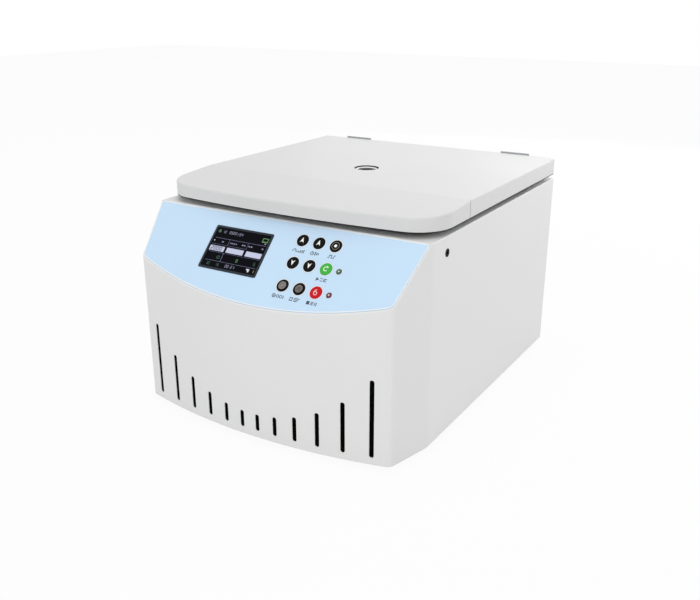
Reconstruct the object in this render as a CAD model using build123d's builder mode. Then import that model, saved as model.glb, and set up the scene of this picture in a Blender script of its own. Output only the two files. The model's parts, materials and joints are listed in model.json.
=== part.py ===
from build123d import *
import math
import os

os.makedirs("parts", exist_ok=True)

# Cytocentrifuge: a bench-top centrifuge that spins cells out of a liquid and onto microscope slides.
# The origin lies on the table under the middle of the overall box: +X right, +Y to the rear, +Z up.
# Driving dimensions, in millimetres and degrees.

# Casing
casing_width = 400
casing_height = 256
front_inset = 15.5  # each front corner in from the side
front_bow = 24  # how far the front swells past its corners
taper_depth = 62  # stretch over which each side draws in towards the front
corner_radius = 9
bend_radius = 45
rear_radius = 2
edge_radius = 1.2
wall = 2.5
seam = 0.3  # gap between pieces that are fitted together
flange_width = 12  # inner lip that carries the rear panel
base_thickness = 2.5
base_slot_length = 40
base_slot_width = 5
base_slot_count = 12
foot_height = 8
foot_radius = 15
foot_taper = 12
foot_inset = 55  # from the sides and the rear to the feet's centres

# Vent slots in the front: their upper ends follow an arc, and their spacing grows outwards
slot_width = 5.7
slot_foot = 9  # from the casing's lower edge
slot_least = 22.2
slot_arc_radius = 210
slot_pitch = 23.2
slot_growth = 2.32
slot_pairs = 6

# Control face: its places are (x, distance up the slope) from its middle
panel_rise = 61
panel_rim = 18  # casing's top left between the control face and the deck
overlay_margin = 1.5
overlay_thickness = 0.6
display_width = 88
display_height = 60
display_place = (-47.3, -9.8)
display_corner = 2
display_frame = 2.6
display_proud = 1.2
glass_thickness = 1.2
glass_recess = 0.4
key_radius = 7.75
key_proud = 1.6
key_travel = 1.2
key_flange = 1.6
key_stem_radius = 2.5
key_column = 61.7
key_column_pitch = 23.15
key_row = -11.2
key_row_pitch = 30.6
lamp_radius = 3.4
lamp_proud = 1.4
lamp_offset = 17.4  # from the right-hand column of keys
board_depth = 16  # control board behind the face
board_thickness = 1.6
board_width = 238
board_height = 84
board_post_inset = 6
board_post_radius = 3

# Deck round the chamber
deck_margin = 20  # rim of the casing left beside the deck
deck_lock_gap = 20.7  # front edge of the deck's opening in front of the bolt axis
deck_rear = 20
deck_corner = 22
deck_lap = 8
deck_thickness = 2
screw_head_radius = 3.4
screw_head_height = 1.8
screw_radius = 1.9
screw_length = 7
screw_inset = 24
screw_taper = 20
rear_screw_shares = (0.06, 0.5, 0.94)  # of the rear panel's height

# Chamber
chamber_setback = 257  # chamber axis behind the front corners
rear_bay = 69.5  # chamber's wall to the casing's rear face, for the fan and the drive board
chamber_radius = 140
chamber_depth = 121  # below the deck
chamber_wall = 1.5
chamber_corner = 16
chamber_rim = 10
drain_collar = 17
drain_collar_height = 5
gasket_width = 7
gasket_lip = 2.5
guard_gap = 5
guard_wall = 3.5
guard_clearance = 6  # left under the deck

# Lid
lid_overhang = 0.5  # past the casing's side
lid_gap = 7.5
lid_height = 22.5
lid_front_height = 15.7
lid_nose = 5.5  # middle of its front edge in front of the control face's upper edge
lid_bow = 13
lid_crease = 158  # from the front corners
lid_rear = 3  # short of the casing's rear face
lid_corner = 47
lid_rear_corner = 4
lid_edge = 2.2
lid_wall = 3
liner_thickness = 1.5
liner_recess = 1.5
lid_seam_width = 0.8  # fine groove down both sides at the crease
lid_seam_depth = 0.4
port_radius = 12  # clear view through the window
port_dish = 3.2  # depth of the port's cone
port_flange = 1.5  # past the port's sleeve
port_rim = 2  # thickness of the flange, let into the lid
port_gap = 0.6
port_wall = 1.8
window_thickness = 3
window_lap = 1.5  # of the window under the cone

# Hinges
hinge_pitch = 274
hinge_width = 45
hinge_back = 6.5  # axis behind the casing's rear face
knuckle_radius = 4.5
knuckle_share = 0.46  # of the width, in the middle, that turns with the lid
knuckle_gap = 0.4
leaf_thickness = 2
leaf_drop = 30
leaf_rise = 2  # above the lid's top
pin_radius = 2
pin_head = 3.2
pin_head_height = 1.2
running_fit = 0.05

# Lock
lock_gap = 16.8  # bolt axis in front of the chamber's wall
lock_drop = 20  # bolt axis below the casing's top
striker_width = 11
striker_thickness = 4
striker_tail = 12  # below the bolt's axis
striker_foot_width = 30
striker_foot_height = 2
striker_swing_gap = 2.4  # room for its arc as the lid turns
striker_side_gap = 1.2
bolt_radius = 3
bolt_rest = 2  # clear of the striker when it is released
bolt_length = 58
bolt_hole_gap = 0.4
rod_radius = 1.8
rod_end_gap = 9  # short of the side wall
lock_width = 74
lock_wall = 3
lock_floor_gap = 0.5  # under the striker's tail
plug_radius = 4.5
plug_flange = 0.5
plug_flange_height = 0.4
plug_bore_radius = 2.6
plug_bore_depth = 1.6

# Rotor
carrier_count = 8
plate_thickness = 5
plate_clearance = 7  # to the chamber's wall
plate_rim = 6  # outside the windows
plate_window_width = 33
plate_window_in = 17.5  # from the pins inwards
plate_window_out = 17
plate_window_corner = 3
dish_wall = 2.5
dish_gap = 9  # above the chamber floor
dish_clearance = 0.4
dish_rim = 3
hub_radius = 15
shaft_radius = 8
spindle_radius = 6
nut_radius = 17
nut_height = 17
nut_flutes = 8
nut_flute_radius = 5
nut_chamfer = 1
plate_hole_radius = 6
plate_chamfer = 1

# Slide carriers, upright: (outwards from the pins, along them, up)
carrier_tilt = 10  # lean at rest, foot inwards
slide_length = 76
slide_width = 26
slide_thickness = 1
slide_offset = 12
slide_rise = 10  # top edge above the pins
card_thickness = 0.6
card_length = 50
clip_thickness = 1.2
clip_margin = 1.5
clip_ear_height = 15
clip_ear_in = 4
clip_bar_height = 6
clip_bar_drop = 10
clip_lip = 5
clip_foot_gap = 10.5  # to the rotor's floor when the carrier is upright
clip_corner = 3
trunnion_radius = 1.5
trunnion_length = 6
cup_radius = 8
cup_wall = 1.2
cup_offset = -2
cup_rise = 6
cup_length = 48
cup_flange = 3
cup_flange_width = 22
cup_flange_height = 44
cup_flange_corner = 2
cup_port_radius = 3
cup_port_drop = 34
cap_height = 6
cap_overhang = 1.2

# Drive
damper_height = 30
damper_radius = 13
damper_waist = 9
damper_pitch = 104
motor_plate_side = 136
motor_plate_thickness = 6
motor_radius = 50
motor_cap = 14
motor_rib_count = 12
motor_rib_depth = 5
bearing_radius = 17.5
bearing_height = 11
boot_height = 13
boot_wall = 3
boot_gap = 1

# Rear
fan_side = 80
fan_depth = 25
fan_setback = 82  # fan axis in from the right-hand side
fan_height = 150  # above the casing's lower edge
fan_bore = 38
fan_hub = 17
fan_blades = 7
fan_blade_thickness = 1.2
fan_blade_angle = 48
fan_root_share = 0.77  # of the blade's width at its tip
fan_blade_twist = 16
fan_tip_gap = 1.2
fan_corner = 4
fan_screw_inset = 4.5
fan_gap = 1  # blades and hub short of the frame's faces
strut_depth = 3
strut_width = 3
strut_count = 4
grille_slot = 5
grille_pitch = 9
inlet_setback = 72  # inlet's middle in from the left-hand side
inlet_height = 62  # middle of the inlet module above the casing's lower edge
inlet_width = 40
inlet_module_height = 66
inlet_flange = 3
inlet_lip = 5  # flange past the body
inlet_corner = 3
inlet_depth = 30
socket_width = 24.4
socket_height = 16.6
socket_depth = 17
socket_chamfer = 4.5
socket_drop = 14  # socket below the module's middle
blade_width = 4
blade_thickness = 2
blade_length = 11.5
blade_pitch = 7
blade_drop = 2  # outer blades below the socket's middle, and the earth blade above it
rocker_width = 21
rocker_height = 14
rocker_rise = 18
rocker_proud = 3
rocker_angle = 7
rocker_depth = 7
rocker_sunk = 2  # pivot below the module's flange
rocker_heel = 1  # back of the rocker short of the well's floor
drive_board_width = 90
drive_board_depth = 60
drive_board_side_gap = 12
drive_board_rear_gap = 8
drive_post_height = 7
capacitor_radius = 11
capacitor_height = 34
sink_width = 34
sink_height = 17
sink_share = 0.8  # of the board's depth
sink_fins = 5

# Worked out from them
z_foot = foot_height
z_top = z_foot + casing_height
z_deck = z_top - wall
z_base = z_foot + base_thickness
casing_depth = chamber_setback + chamber_radius + chamber_wall + rear_bay  # behind the front corners
y_front = front_bow - (front_bow + casing_depth + hinge_back + knuckle_radius) / 2
y_rear = y_front + casing_depth
y_flange = y_rear - 2 * wall
chamber_y = y_front + chamber_setback
lock_setback = chamber_setback - chamber_radius - chamber_wall - lock_gap
striker_y = y_front + lock_setback
deck_front = lock_setback - deck_lock_gap
panel_run = deck_front - panel_rim
lid_front = panel_run - lid_nose
plate_radius = chamber_radius - plate_clearance
pin_circle_radius = plate_radius - plate_rim - plate_window_out  # carrier pins from the rotor's axis
clip_foot = slide_length - slide_rise + clip_margin
pin_drop = chamber_depth - dish_gap - dish_wall - clip_foot_gap - clip_foot  # below the deck's top
slope_length = math.hypot(panel_run, panel_rise)
panel_middle = (0, y_front + panel_run / 2, z_top - panel_rise / 2)
panel_plane = Plane(origin=panel_middle, x_dir=(1, 0, 0), z_dir=(0, -panel_rise, panel_run))
panel_normal = Axis(panel_plane.origin, panel_plane.z_dir)
front_plane = Plane(origin=(0, y_front, 0), x_dir=(1, 0, 0), z_dir=(0, -1, 0))
rear_plane = Plane(origin=(0, y_rear, 0), x_dir=(-1, 0, 0), z_dir=(0, 1, 0))  # its x runs to the left
fan_spot = (fan_setback - casing_width / 2, z_foot + fan_height)
inlet_spot = (casing_width / 2 - inlet_setback, z_foot + inlet_height)
side_plane = Plane(origin=(casing_width / 2, 0, 0), x_dir=(0, 1, 0), z_dir=(1, 0, 0))
spin_axis = Axis((0, chamber_y, 0), (0, 0, 1))
spin_plane = Plane(origin=(0, chamber_y, 0), x_dir=(1, 0, 0), z_dir=(0, -1, 0))
key_columns = [key_column + step * key_column_pitch for step in (-1, 0, 1)]
key_rows = [key_row + step * key_row_pitch for step in (1, 0, -1)]
key_names = [
    ["speed_up", "time_up", "jog"],
    ["speed_down", "time_down", "start"],
    ["rotor", "program", "stop"],
]
key_places = {
    name: (key_columns[column], key_rows[row])
    for row, names in enumerate(key_names)
    for column, name in enumerate(names)
}
lamp_x = key_columns[2] + lamp_offset


def casing_plan(inset, rear):
    """Outline of the casing seen from above, drawn in by the inset, with its rear edge where it is told."""
    half = casing_width / 2
    half_front = half - front_inset
    with BuildSketch() as plan:
        with BuildLine():
            ThreePointArc((-half_front, y_front), (0, y_front - front_bow), (half_front, y_front))
            Polyline(
                (half_front, y_front),
                (half, y_front + taper_depth),
                (half, rear + inset),
                (-half, rear + inset),
                (-half, y_front + taper_depth),
                (-half_front, y_front),
            )
        make_face()
        fillet(plan.vertices().group_by(Axis.Y)[1], bend_radius)
        fillet(plan.vertices().group_by(Axis.Y)[0], corner_radius)
        fillet(plan.vertices().group_by(Axis.Y)[-1], rear_radius + inset)
        if inset:
            offset(amount=-inset)
    return plan.sketch


def panel_openings(gap):
    """Openings of the control face: the display, the keys and the two lamps, each wider by the gap."""
    with BuildSketch() as openings:
        with Locations(display_place):
            RectangleRounded(display_width + 2 * gap, display_height + 2 * gap, display_corner + gap)
        with Locations(*key_places.values()):
            Circle(key_radius + gap)
        with Locations((lamp_x, key_rows[1]), (lamp_x, key_rows[2])):
            Circle(lamp_radius + gap)
    return openings.sketch


def deck_outline(lap):
    """Outline of the opening in the casing's top, and with a lap that of the deck plate under it."""
    low = y_front + deck_front - lap
    high = y_rear - deck_rear + lap
    with BuildSketch() as outline:
        with Locations((0, (low + high) / 2)):
            RectangleRounded(casing_width - 2 * deck_margin + 2 * lap, high - low, deck_corner + lap)
    return outline.sketch


# ---------------------------------------------------------------------------
# Casing: one moulded shell of front, control face, sides and top
# ---------------------------------------------------------------------------
with BuildPart() as casing_hollow:
    with BuildSketch(Plane.XY.offset(z_foot)):
        add(casing_plan(wall, y_flange))
    extrude(amount=casing_height - wall)
    split(bisect_by=panel_plane.offset(-wall), keep=Keep.BOTTOM)

with BuildPart() as casing:
    with BuildSketch(Plane.XY.offset(z_foot)):
        add(casing_plan(0, y_rear))
    extrude(amount=casing_height)
    split(bisect_by=panel_plane, keep=Keep.BOTTOM)
    # soft edges round the control face and along the top of both sides
    panel_face = casing.faces().sort_by(panel_normal)[-1]
    side_edges = casing.faces().sort_by(Axis.Z)[-1].edges().filter_by(Axis.Y)
    fillet(panel_face.edges() + side_edges, edge_radius)
    add(casing_hollow.part, mode=Mode.SUBTRACT)
    # rear opening inside the lip, and the recess that the rear panel sits in
    opening_width = casing_width - 2 * wall
    for width, height, depth in (
        (opening_width - 2 * flange_width, casing_height - wall - flange_width, 2 * wall),
        (opening_width, casing_height - wall, wall),
    ):
        with BuildSketch(rear_plane):
            with Locations((0, z_foot)):
                Rectangle(width, height, align=(Align.CENTER, Align.MIN))
        extrude(amount=-depth, mode=Mode.SUBTRACT)
    # deck opening
    with BuildSketch(Plane.XY.offset(z_top)):
        add(deck_outline(0))
    extrude(amount=-wall, mode=Mode.SUBTRACT)
    # display, keys and lamps, and the posts behind them that carry the control board
    with BuildSketch(panel_plane):
        add(panel_openings(seam))
    extrude(amount=-wall, mode=Mode.SUBTRACT)
    with BuildSketch(panel_plane.offset(-wall)):
        with Locations((0, -board_post_inset)):
            with GridLocations(board_width - 2 * board_post_inset, board_height - 2 * board_post_inset, 2, 2):
                Circle(board_post_radius)
    extrude(amount=wall - board_depth)
    # vent slots
    with BuildSketch(front_plane.offset(-taper_depth / 4)):
        for pair in range(slot_pairs):
            x = slot_pitch * (pair + 0.5) + slot_growth * pair * (pair + 1) / 2
            height = slot_least + slot_arc_radius - math.sqrt(slot_arc_radius**2 - x**2)
            with Locations((x, z_foot + slot_foot + height / 2), (-x, z_foot + slot_foot + height / 2)):
                SlotOverall(height, slot_width, rotation=90)
    extrude(amount=taper_depth / 4 + front_bow, mode=Mode.SUBTRACT)
    # hole of the lock's emergency release
    with BuildSketch(side_plane):
        with Locations((striker_y, z_top - lock_drop)):
            Circle(plug_radius)
    extrude(amount=-wall, mode=Mode.SUBTRACT)
casing.part.label = "casing"
export_step(casing.part, "parts/casing.step")

# ---------------------------------------------------------------------------
# Control face: overlay, display, keys, lamps and the board behind them
# ---------------------------------------------------------------------------
with BuildPart() as panel_overlay:
    with BuildSketch(Plane.XY.offset(z_foot)):
        add(casing_plan(overlay_margin, y_rear))
    extrude(amount=casing_height + overlay_thickness)
    with BuildSketch(panel_plane):
        with Locations((0, slope_length / 2 - overlay_margin)):
            Rectangle(casing_width, slope_length + 2 * front_bow, align=(Align.CENTER, Align.MAX))
    extrude(amount=overlay_thickness, mode=Mode.INTERSECT)
    with BuildSketch(panel_plane.offset(overlay_thickness)):
        add(panel_openings(seam))
    extrude(amount=-overlay_thickness, mode=Mode.SUBTRACT)
panel_overlay.part.label = "panel_overlay"
export_step(panel_overlay.part, "parts/panel_overlay.step")

with BuildPart() as display_bezel:
    with BuildSketch(panel_plane.offset(display_proud)):
        with Locations(display_place):
            RectangleRounded(display_width, display_height, display_corner)
    extrude(amount=seam - board_depth - display_proud)
    with BuildSketch(panel_plane.offset(display_proud)):
        with Locations(display_place):
            Rectangle(display_width - 2 * display_frame, display_height - 2 * display_frame)
    extrude(amount=-glass_recess - glass_thickness, mode=Mode.SUBTRACT)
display_bezel.part.label = "display_bezel"
export_step(display_bezel.part, "parts/display_bezel.step")

with BuildPart() as display_glass:
    with BuildSketch(panel_plane.offset(display_proud - glass_recess)):
        with Locations(display_place):
            glass_edge = 2 * (display_frame + seam)
            Rectangle(display_width - glass_edge, display_height - glass_edge)
    extrude(amount=-glass_thickness)
display_glass.part.label = "display_glass"
export_step(display_glass.part, "parts/display_glass.step")

for key_name, key_place in key_places.items():
    with BuildPart() as key:
        with BuildSketch(panel_plane.offset(key_proud)):
            with Locations(key_place):
                Circle(key_radius)
        extrude(amount=-key_proud - wall - seam)
        chamfer(key.edges().sort_by(panel_normal)[-1], key_proud / 3)
        with BuildSketch(panel_plane.offset(-wall - seam)):
            with Locations(key_place):
                Circle(key_radius + key_flange)
        extrude(amount=-key_flange)
        with BuildSketch(panel_plane.offset(-wall - seam)):
            with Locations(key_place):
                Circle(key_stem_radius)
        extrude(amount=wall + 2 * seam + key_travel - board_depth)
    key.part.label = f"key_{key_name}"
    export_step(key.part, f"parts/key_{key_name}.step")

for lamp_name, lamp_row in (("run_lamp", key_rows[1]), ("stop_lamp", key_rows[2])):
    with BuildPart() as lamp:
        with BuildSketch(panel_plane.offset(lamp_proud)):
            with Locations((lamp_x, lamp_row)):
                Circle(lamp_radius)
        extrude(amount=seam - board_depth - lamp_proud)
        fillet(lamp.edges().sort_by(panel_normal)[-1], lamp_proud)
    lamp.part.label = lamp_name
    export_step(lamp.part, f"parts/{lamp_name}.step")

with BuildPart() as control_board:
    with BuildSketch(panel_plane.offset(-board_depth)):
        with Locations((0, -board_post_inset)):
            Rectangle(board_width, board_height)
    extrude(amount=-board_thickness)
control_board.part.label = "control_board"
export_step(control_board.part, "parts/control_board.step")

# ---------------------------------------------------------------------------
# Deck, chamber and the guard round it
# ---------------------------------------------------------------------------
screw_spots = [
    (side * (casing_width / 2 - deck_margin - screw_inset), y)
    for side in (-1, 1)
    for y in (y_front + deck_front + screw_inset, y_rear - deck_rear - screw_inset)
]
slot_low = striker_y - striker_width / 2 - striker_swing_gap
slot_high = striker_y + striker_width / 2 + 2 * seam
slot_across = striker_thickness + 2 * striker_side_gap

with BuildPart() as top_deck:
    with BuildSketch(Plane.XY.offset(z_deck)):
        add(deck_outline(deck_lap))
        with Locations((0, chamber_y)):
            Circle(chamber_radius + chamber_wall + seam, mode=Mode.SUBTRACT)
        with Locations((0, (slot_low + slot_high) / 2)):
            Rectangle(slot_across, slot_high - slot_low, mode=Mode.SUBTRACT)
        with Locations(*screw_spots):
            Circle(screw_radius + running_fit, mode=Mode.SUBTRACT)
    extrude(amount=-deck_thickness)
top_deck.part.label = "top_deck"
export_step(top_deck.part, "parts/top_deck.step")

z_chamber = z_deck - chamber_depth
with BuildPart() as chamber_bowl:
    with BuildSketch(spin_plane):
        with BuildLine():
            inner = chamber_radius
            outer = chamber_radius + chamber_wall
            under = z_chamber - chamber_wall
            bend_in = chamber_corner
            bend_out = chamber_corner + chamber_wall
            Polyline(
                (inner, z_chamber + bend_in),
                (inner, z_deck + chamber_wall),
                (outer + chamber_rim, z_deck + chamber_wall),
                (outer + chamber_rim, z_deck),
                (outer, z_deck),
                (outer, z_chamber + bend_in),
            )
            RadiusArc((outer, z_chamber + bend_in), (inner - bend_in, under), bend_out)
            Polyline(
                (inner - bend_in, under),
                (drain_collar - chamber_wall, under),
                (drain_collar - chamber_wall, z_chamber + drain_collar_height),
                (drain_collar, z_chamber + drain_collar_height),
                (drain_collar, z_chamber),
                (inner - bend_in, z_chamber),
            )
            RadiusArc((inner - bend_in, z_chamber), (inner, z_chamber + bend_in), -bend_in)
        make_face()
    revolve(axis=spin_axis)
chamber_bowl.part.label = "chamber_bowl"
export_step(chamber_bowl.part, "parts/chamber_bowl.step")

z_liner = z_top + lid_gap + liner_recess
with BuildPart() as chamber_gasket:
    with BuildSketch(spin_plane):
        with BuildLine():
            inner = chamber_radius + gasket_lip / 2
            Polyline(
                (inner, z_deck + chamber_wall),
                (inner + gasket_width, z_deck + chamber_wall),
                (inner + gasket_width - gasket_lip / 2, z_liner - gasket_lip),
                (inner + gasket_lip, z_liner - seam),
                (inner, z_liner - seam),
                close=True,
            )
        make_face()
    revolve(axis=spin_axis)
chamber_gasket.part.label = "chamber_gasket"
export_step(chamber_gasket.part, "parts/chamber_gasket.step")

with BuildPart() as guard_ring:
    with BuildSketch(Plane.XY.offset(z_base)):
        with Locations((0, chamber_y)):
            Circle(chamber_radius + guard_gap + guard_wall)
            Circle(chamber_radius + guard_gap, mode=Mode.SUBTRACT)
    extrude(amount=z_deck - deck_thickness - guard_clearance - z_base)
guard_ring.part.label = "guard_ring"
export_step(guard_ring.part, "parts/guard_ring.step")

# ---------------------------------------------------------------------------
# Base, feet and screws
# ---------------------------------------------------------------------------
foot_grid = (casing_width - 2 * foot_inset, casing_depth - 2 * foot_inset)
drive_board_spot = (
    drive_board_width / 2 + wall + drive_board_side_gap - casing_width / 2,
    y_flange - drive_board_rear_gap - drive_board_depth / 2,
)
board_post_grid = (drive_board_width - 2 * board_post_inset, drive_board_depth - 2 * board_post_inset)
with BuildPart() as base_plate:
    with BuildSketch(Plane.XY.offset(z_foot)):
        add(casing_plan(wall + seam, y_flange - seam))
        # tongue between the casing's rear lips, up to the rear panel
        with Locations((0, y_rear - wall - seam)):
            tongue_width = casing_width - 2 * (wall + flange_width + seam)
            Rectangle(tongue_width, wall + flange_width, align=(Align.CENTER, Align.MAX))
        with Locations((0, chamber_y)):
            with PolarLocations(chamber_radius - base_slot_length / 2, base_slot_count):
                SlotOverall(base_slot_length, base_slot_width, mode=Mode.SUBTRACT)
    extrude(amount=base_thickness)
    with BuildSketch(Plane.XY.offset(z_base)):
        with Locations(drive_board_spot):
            with GridLocations(*board_post_grid, 2, 2):
                Circle(board_post_radius)
    extrude(amount=drive_post_height)
base_plate.part.label = "base_plate"
export_step(base_plate.part, "parts/base_plate.step")

with BuildPart() as feet:
    with BuildSketch(Plane.XY.offset(z_foot)):
        with Locations((0, (y_front + y_rear) / 2)):
            with GridLocations(*foot_grid, 2, 2):
                Circle(foot_radius)
    extrude(amount=-foot_height, taper=foot_taper)
feet.part.label = "feet"
export_step(feet.part, "parts/feet.step")

with BuildPart() as drive_board:
    with BuildSketch(Plane.XY.offset(z_base + drive_post_height)):
        with Locations(drive_board_spot):
            Rectangle(drive_board_width, drive_board_depth)
    extrude(amount=board_thickness)
    with BuildSketch(Plane.XY.offset(z_base + drive_post_height + board_thickness)):
        with Locations(drive_board_spot):
            with Locations((-drive_board_width / 4, 0)):
                with GridLocations(0, 2.5 * capacitor_radius, 1, 2):
                    Circle(capacitor_radius)
    extrude(amount=capacitor_height)
    # heat sink: a foot with upright fins
    sink_plane = Plane.XY.offset(z_base + drive_post_height + board_thickness)
    with BuildSketch(sink_plane):
        with Locations(drive_board_spot):
            with Locations((drive_board_width / 4, 0)):
                Rectangle(sink_width, drive_board_depth * sink_share)
    extrude(amount=2 * board_thickness)
    with BuildSketch(sink_plane.offset(2 * board_thickness)):
        with Locations(drive_board_spot):
            with Locations((drive_board_width / 4, 0)):
                with GridLocations(sink_width / sink_fins, 0, sink_fins, 1):
                    Rectangle(board_thickness, drive_board_depth * sink_share)
    extrude(amount=sink_height)
drive_board.part.label = "drive_board"
export_step(drive_board.part, "parts/drive_board.step")

# ---------------------------------------------------------------------------
# Rear panel, fan, power inlet and switch
# ---------------------------------------------------------------------------
panel_width = casing_width - 2 * (wall + seam)
panel_height = casing_height - wall - seam
inlet_body = (inlet_width - 2 * inlet_lip, inlet_module_height - 2 * inlet_lip)
rear_screws = [
    (side * (panel_width / 2 - flange_width / 2), z_foot + panel_height * share)
    for side in (-1, 1)
    for share in rear_screw_shares
]
with BuildPart() as rear_panel:
    with BuildSketch(rear_plane):
        with Locations((0, z_foot)):
            Rectangle(panel_width, panel_height, align=(Align.CENTER, Align.MIN))
        # fan grille: upright slots cut off by a circle
        for step in range(-4, 5):
            reach = math.sqrt(fan_bore**2 - (step * grille_pitch) ** 2)
            with Locations((fan_spot[0] + step * grille_pitch, fan_spot[1])):
                SlotOverall(2 * reach, grille_slot, rotation=90, mode=Mode.SUBTRACT)
        with Locations(inlet_spot):
            Rectangle(*[side + 2 * seam for side in inlet_body], mode=Mode.SUBTRACT)
        with Locations(*rear_screws):
            Circle(screw_radius + running_fit, mode=Mode.SUBTRACT)
    extrude(amount=-wall)
rear_panel.part.label = "rear_panel"
export_step(rear_panel.part, "parts/rear_panel.step")

with BuildPart() as case_screws:
    with BuildSketch(Plane.XY.offset(z_deck)):
        with Locations(*screw_spots):
            Circle(screw_head_radius)
    extrude(amount=screw_head_height, taper=screw_taper)
    with BuildSketch(Plane.XY.offset(z_deck)):
        with Locations(*screw_spots):
            Circle(screw_radius)
    extrude(amount=-screw_length)
    with BuildSketch(rear_plane):
        with Locations(*rear_screws):
            Circle(screw_head_radius)
    extrude(amount=screw_head_height, taper=screw_taper)
    with BuildSketch(rear_plane):
        with Locations(*rear_screws):
            Circle(screw_radius)
    extrude(amount=-wall)
case_screws.part.label = "case_screws"
export_step(case_screws.part, "parts/case_screws.step")

fan_plane = rear_plane.offset(-wall)
with BuildPart() as fan_frame:
    with BuildSketch(fan_plane):
        with Locations(fan_spot):
            RectangleRounded(fan_side, fan_side, fan_corner)
            Circle(fan_bore, mode=Mode.SUBTRACT)
            with GridLocations(fan_side - 2 * fan_screw_inset, fan_side - 2 * fan_screw_inset, 2, 2):
                Circle(screw_radius, mode=Mode.SUBTRACT)
    extrude(amount=-fan_depth)
    with BuildSketch(fan_plane.offset(-fan_depth)):
        with Locations(fan_spot):
            Circle(fan_hub)
            with PolarLocations((fan_bore + fan_hub) / 2, strut_count, start_angle=180 / strut_count):
                Rectangle(fan_bore - fan_hub + strut_width, strut_width)
    extrude(amount=strut_depth)
fan_frame.part.label = "fan_frame"
export_step(fan_frame.part, "parts/fan_frame.step")

sweep_depth = fan_depth - strut_depth - 4 * fan_gap
with BuildPart() as fan_impeller:
    with BuildSketch(fan_plane.offset(-fan_gap)):
        with Locations(fan_spot):
            Circle(fan_hub)
    extrude(amount=strut_depth + seam + fan_gap - fan_depth)
    for blade in range(fan_blades):
        turn = 360 / fan_blades * blade
        across = fan_plane.offset(-fan_gap - fan_depth / 2).location * Pos(*fan_spot) * Rot(0, 0, turn)
        root = Plane(across * Pos(fan_hub - fan_gap, 0, 0) * Rot(0, 90, 0))
        tip = Plane(across * Pos(fan_bore - fan_tip_gap, 0, 0) * Rot(0, 90, 0))
        with BuildSketch(root):
            Rectangle(fan_root_share * sweep_depth, fan_blade_thickness, rotation=90 - fan_blade_angle)
        with BuildSketch(tip):
            Rectangle(sweep_depth, fan_blade_thickness, rotation=90 - fan_blade_angle + fan_blade_twist)
        loft()
fan_impeller.part.label = "fan_impeller"
export_step(fan_impeller.part, "parts/fan_impeller.step")

socket_spot = (inlet_spot[0], inlet_spot[1] - socket_drop)
rocker_spot = (inlet_spot[0], inlet_spot[1] + rocker_rise)
with BuildPart() as power_inlet:
    with BuildSketch(rear_plane.offset(inlet_flange)):
        with Locations(inlet_spot):
            RectangleRounded(inlet_width, inlet_module_height, inlet_corner)
    extrude(amount=-inlet_flange)
    with BuildSketch(rear_plane):
        with Locations(inlet_spot):
            Rectangle(*inlet_body)
    extrude(amount=-inlet_depth)
    # socket: a rectangle with two cut corners, open to the rear, with three blades on its floor
    with BuildSketch(rear_plane.offset(inlet_flange)) as socket:
        with Locations(socket_spot):
            Rectangle(socket_width, socket_height)
        chamfer(socket.vertices().group_by(Axis.Y)[-1], socket_chamfer)
    extrude(amount=-socket_depth, mode=Mode.SUBTRACT)
    with BuildSketch(rear_plane.offset(inlet_flange - socket_depth)):
        with Locations(socket_spot):
            with Locations((-blade_pitch, -blade_drop), (0, blade_drop), (blade_pitch, -blade_drop)):
                Rectangle(blade_thickness, blade_width)
    extrude(amount=blade_length)
    # well of the rocker switch
    with BuildSketch(rear_plane.offset(inlet_flange)):
        with Locations(rocker_spot):
            Rectangle(rocker_width + 4 * seam, rocker_height + 8 * seam)
    extrude(amount=-inlet_flange - rocker_depth - rocker_proud, mode=Mode.SUBTRACT)
power_inlet.part.label = "power_inlet"
export_step(power_inlet.part, "parts/power_inlet.step")

# The rocker's ends are flush and proud in turn: its face is a shallow V about the pivot
rocker_pivot = (-rocker_spot[0], y_rear + inlet_flange - rocker_sunk, rocker_spot[1])
rocker_level = Plane(origin=rocker_pivot, x_dir=(0, 1, 0), z_dir=(1, 0, 0))
rocker_plane = Plane(rocker_level.location * Rot(0, 0, -rocker_angle))
with BuildPart() as rocker_switch:
    with BuildSketch(rocker_plane):
        with BuildLine():
            half = rocker_height / 2
            lift = half * math.tan(math.radians(rocker_angle))
            Polyline(
                (rocker_proud, 0),
                (rocker_proud + lift, half),
                (-rocker_proud, half),
                (rocker_heel - rocker_depth, 0),
                (-rocker_proud, -half),
                (rocker_proud + lift, -half),
                close=True,
            )
        make_face()
    extrude(amount=rocker_width / 2, both=True)
rocker_switch.part.label = "rocker_switch"
export_step(rocker_switch.part, "parts/rocker_switch.step")

# ---------------------------------------------------------------------------
# Hinges: knuckles rolled from a leaf on the rear panel and a leaf on the lid's rear face
# ---------------------------------------------------------------------------
hinge_y = y_rear + hinge_back
hinge_z = z_top + lid_gap / 2
z_lid = z_top + lid_gap
z_lid_top = z_lid + lid_height
lid_rear_y = y_rear - lid_rear
hinge_spots = (-hinge_pitch / 2, hinge_pitch / 2)
lid_knuckle = hinge_width * knuckle_share
root_knuckle = (hinge_width - lid_knuckle) / 2 - knuckle_gap


def hinge_plane(x):
    """Plane across a hinge, with its origin on the pin's axis, rearwards and up."""
    return Plane(origin=(x, hinge_y, hinge_z), x_dir=(0, 1, 0), z_dir=(1, 0, 0))


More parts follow.
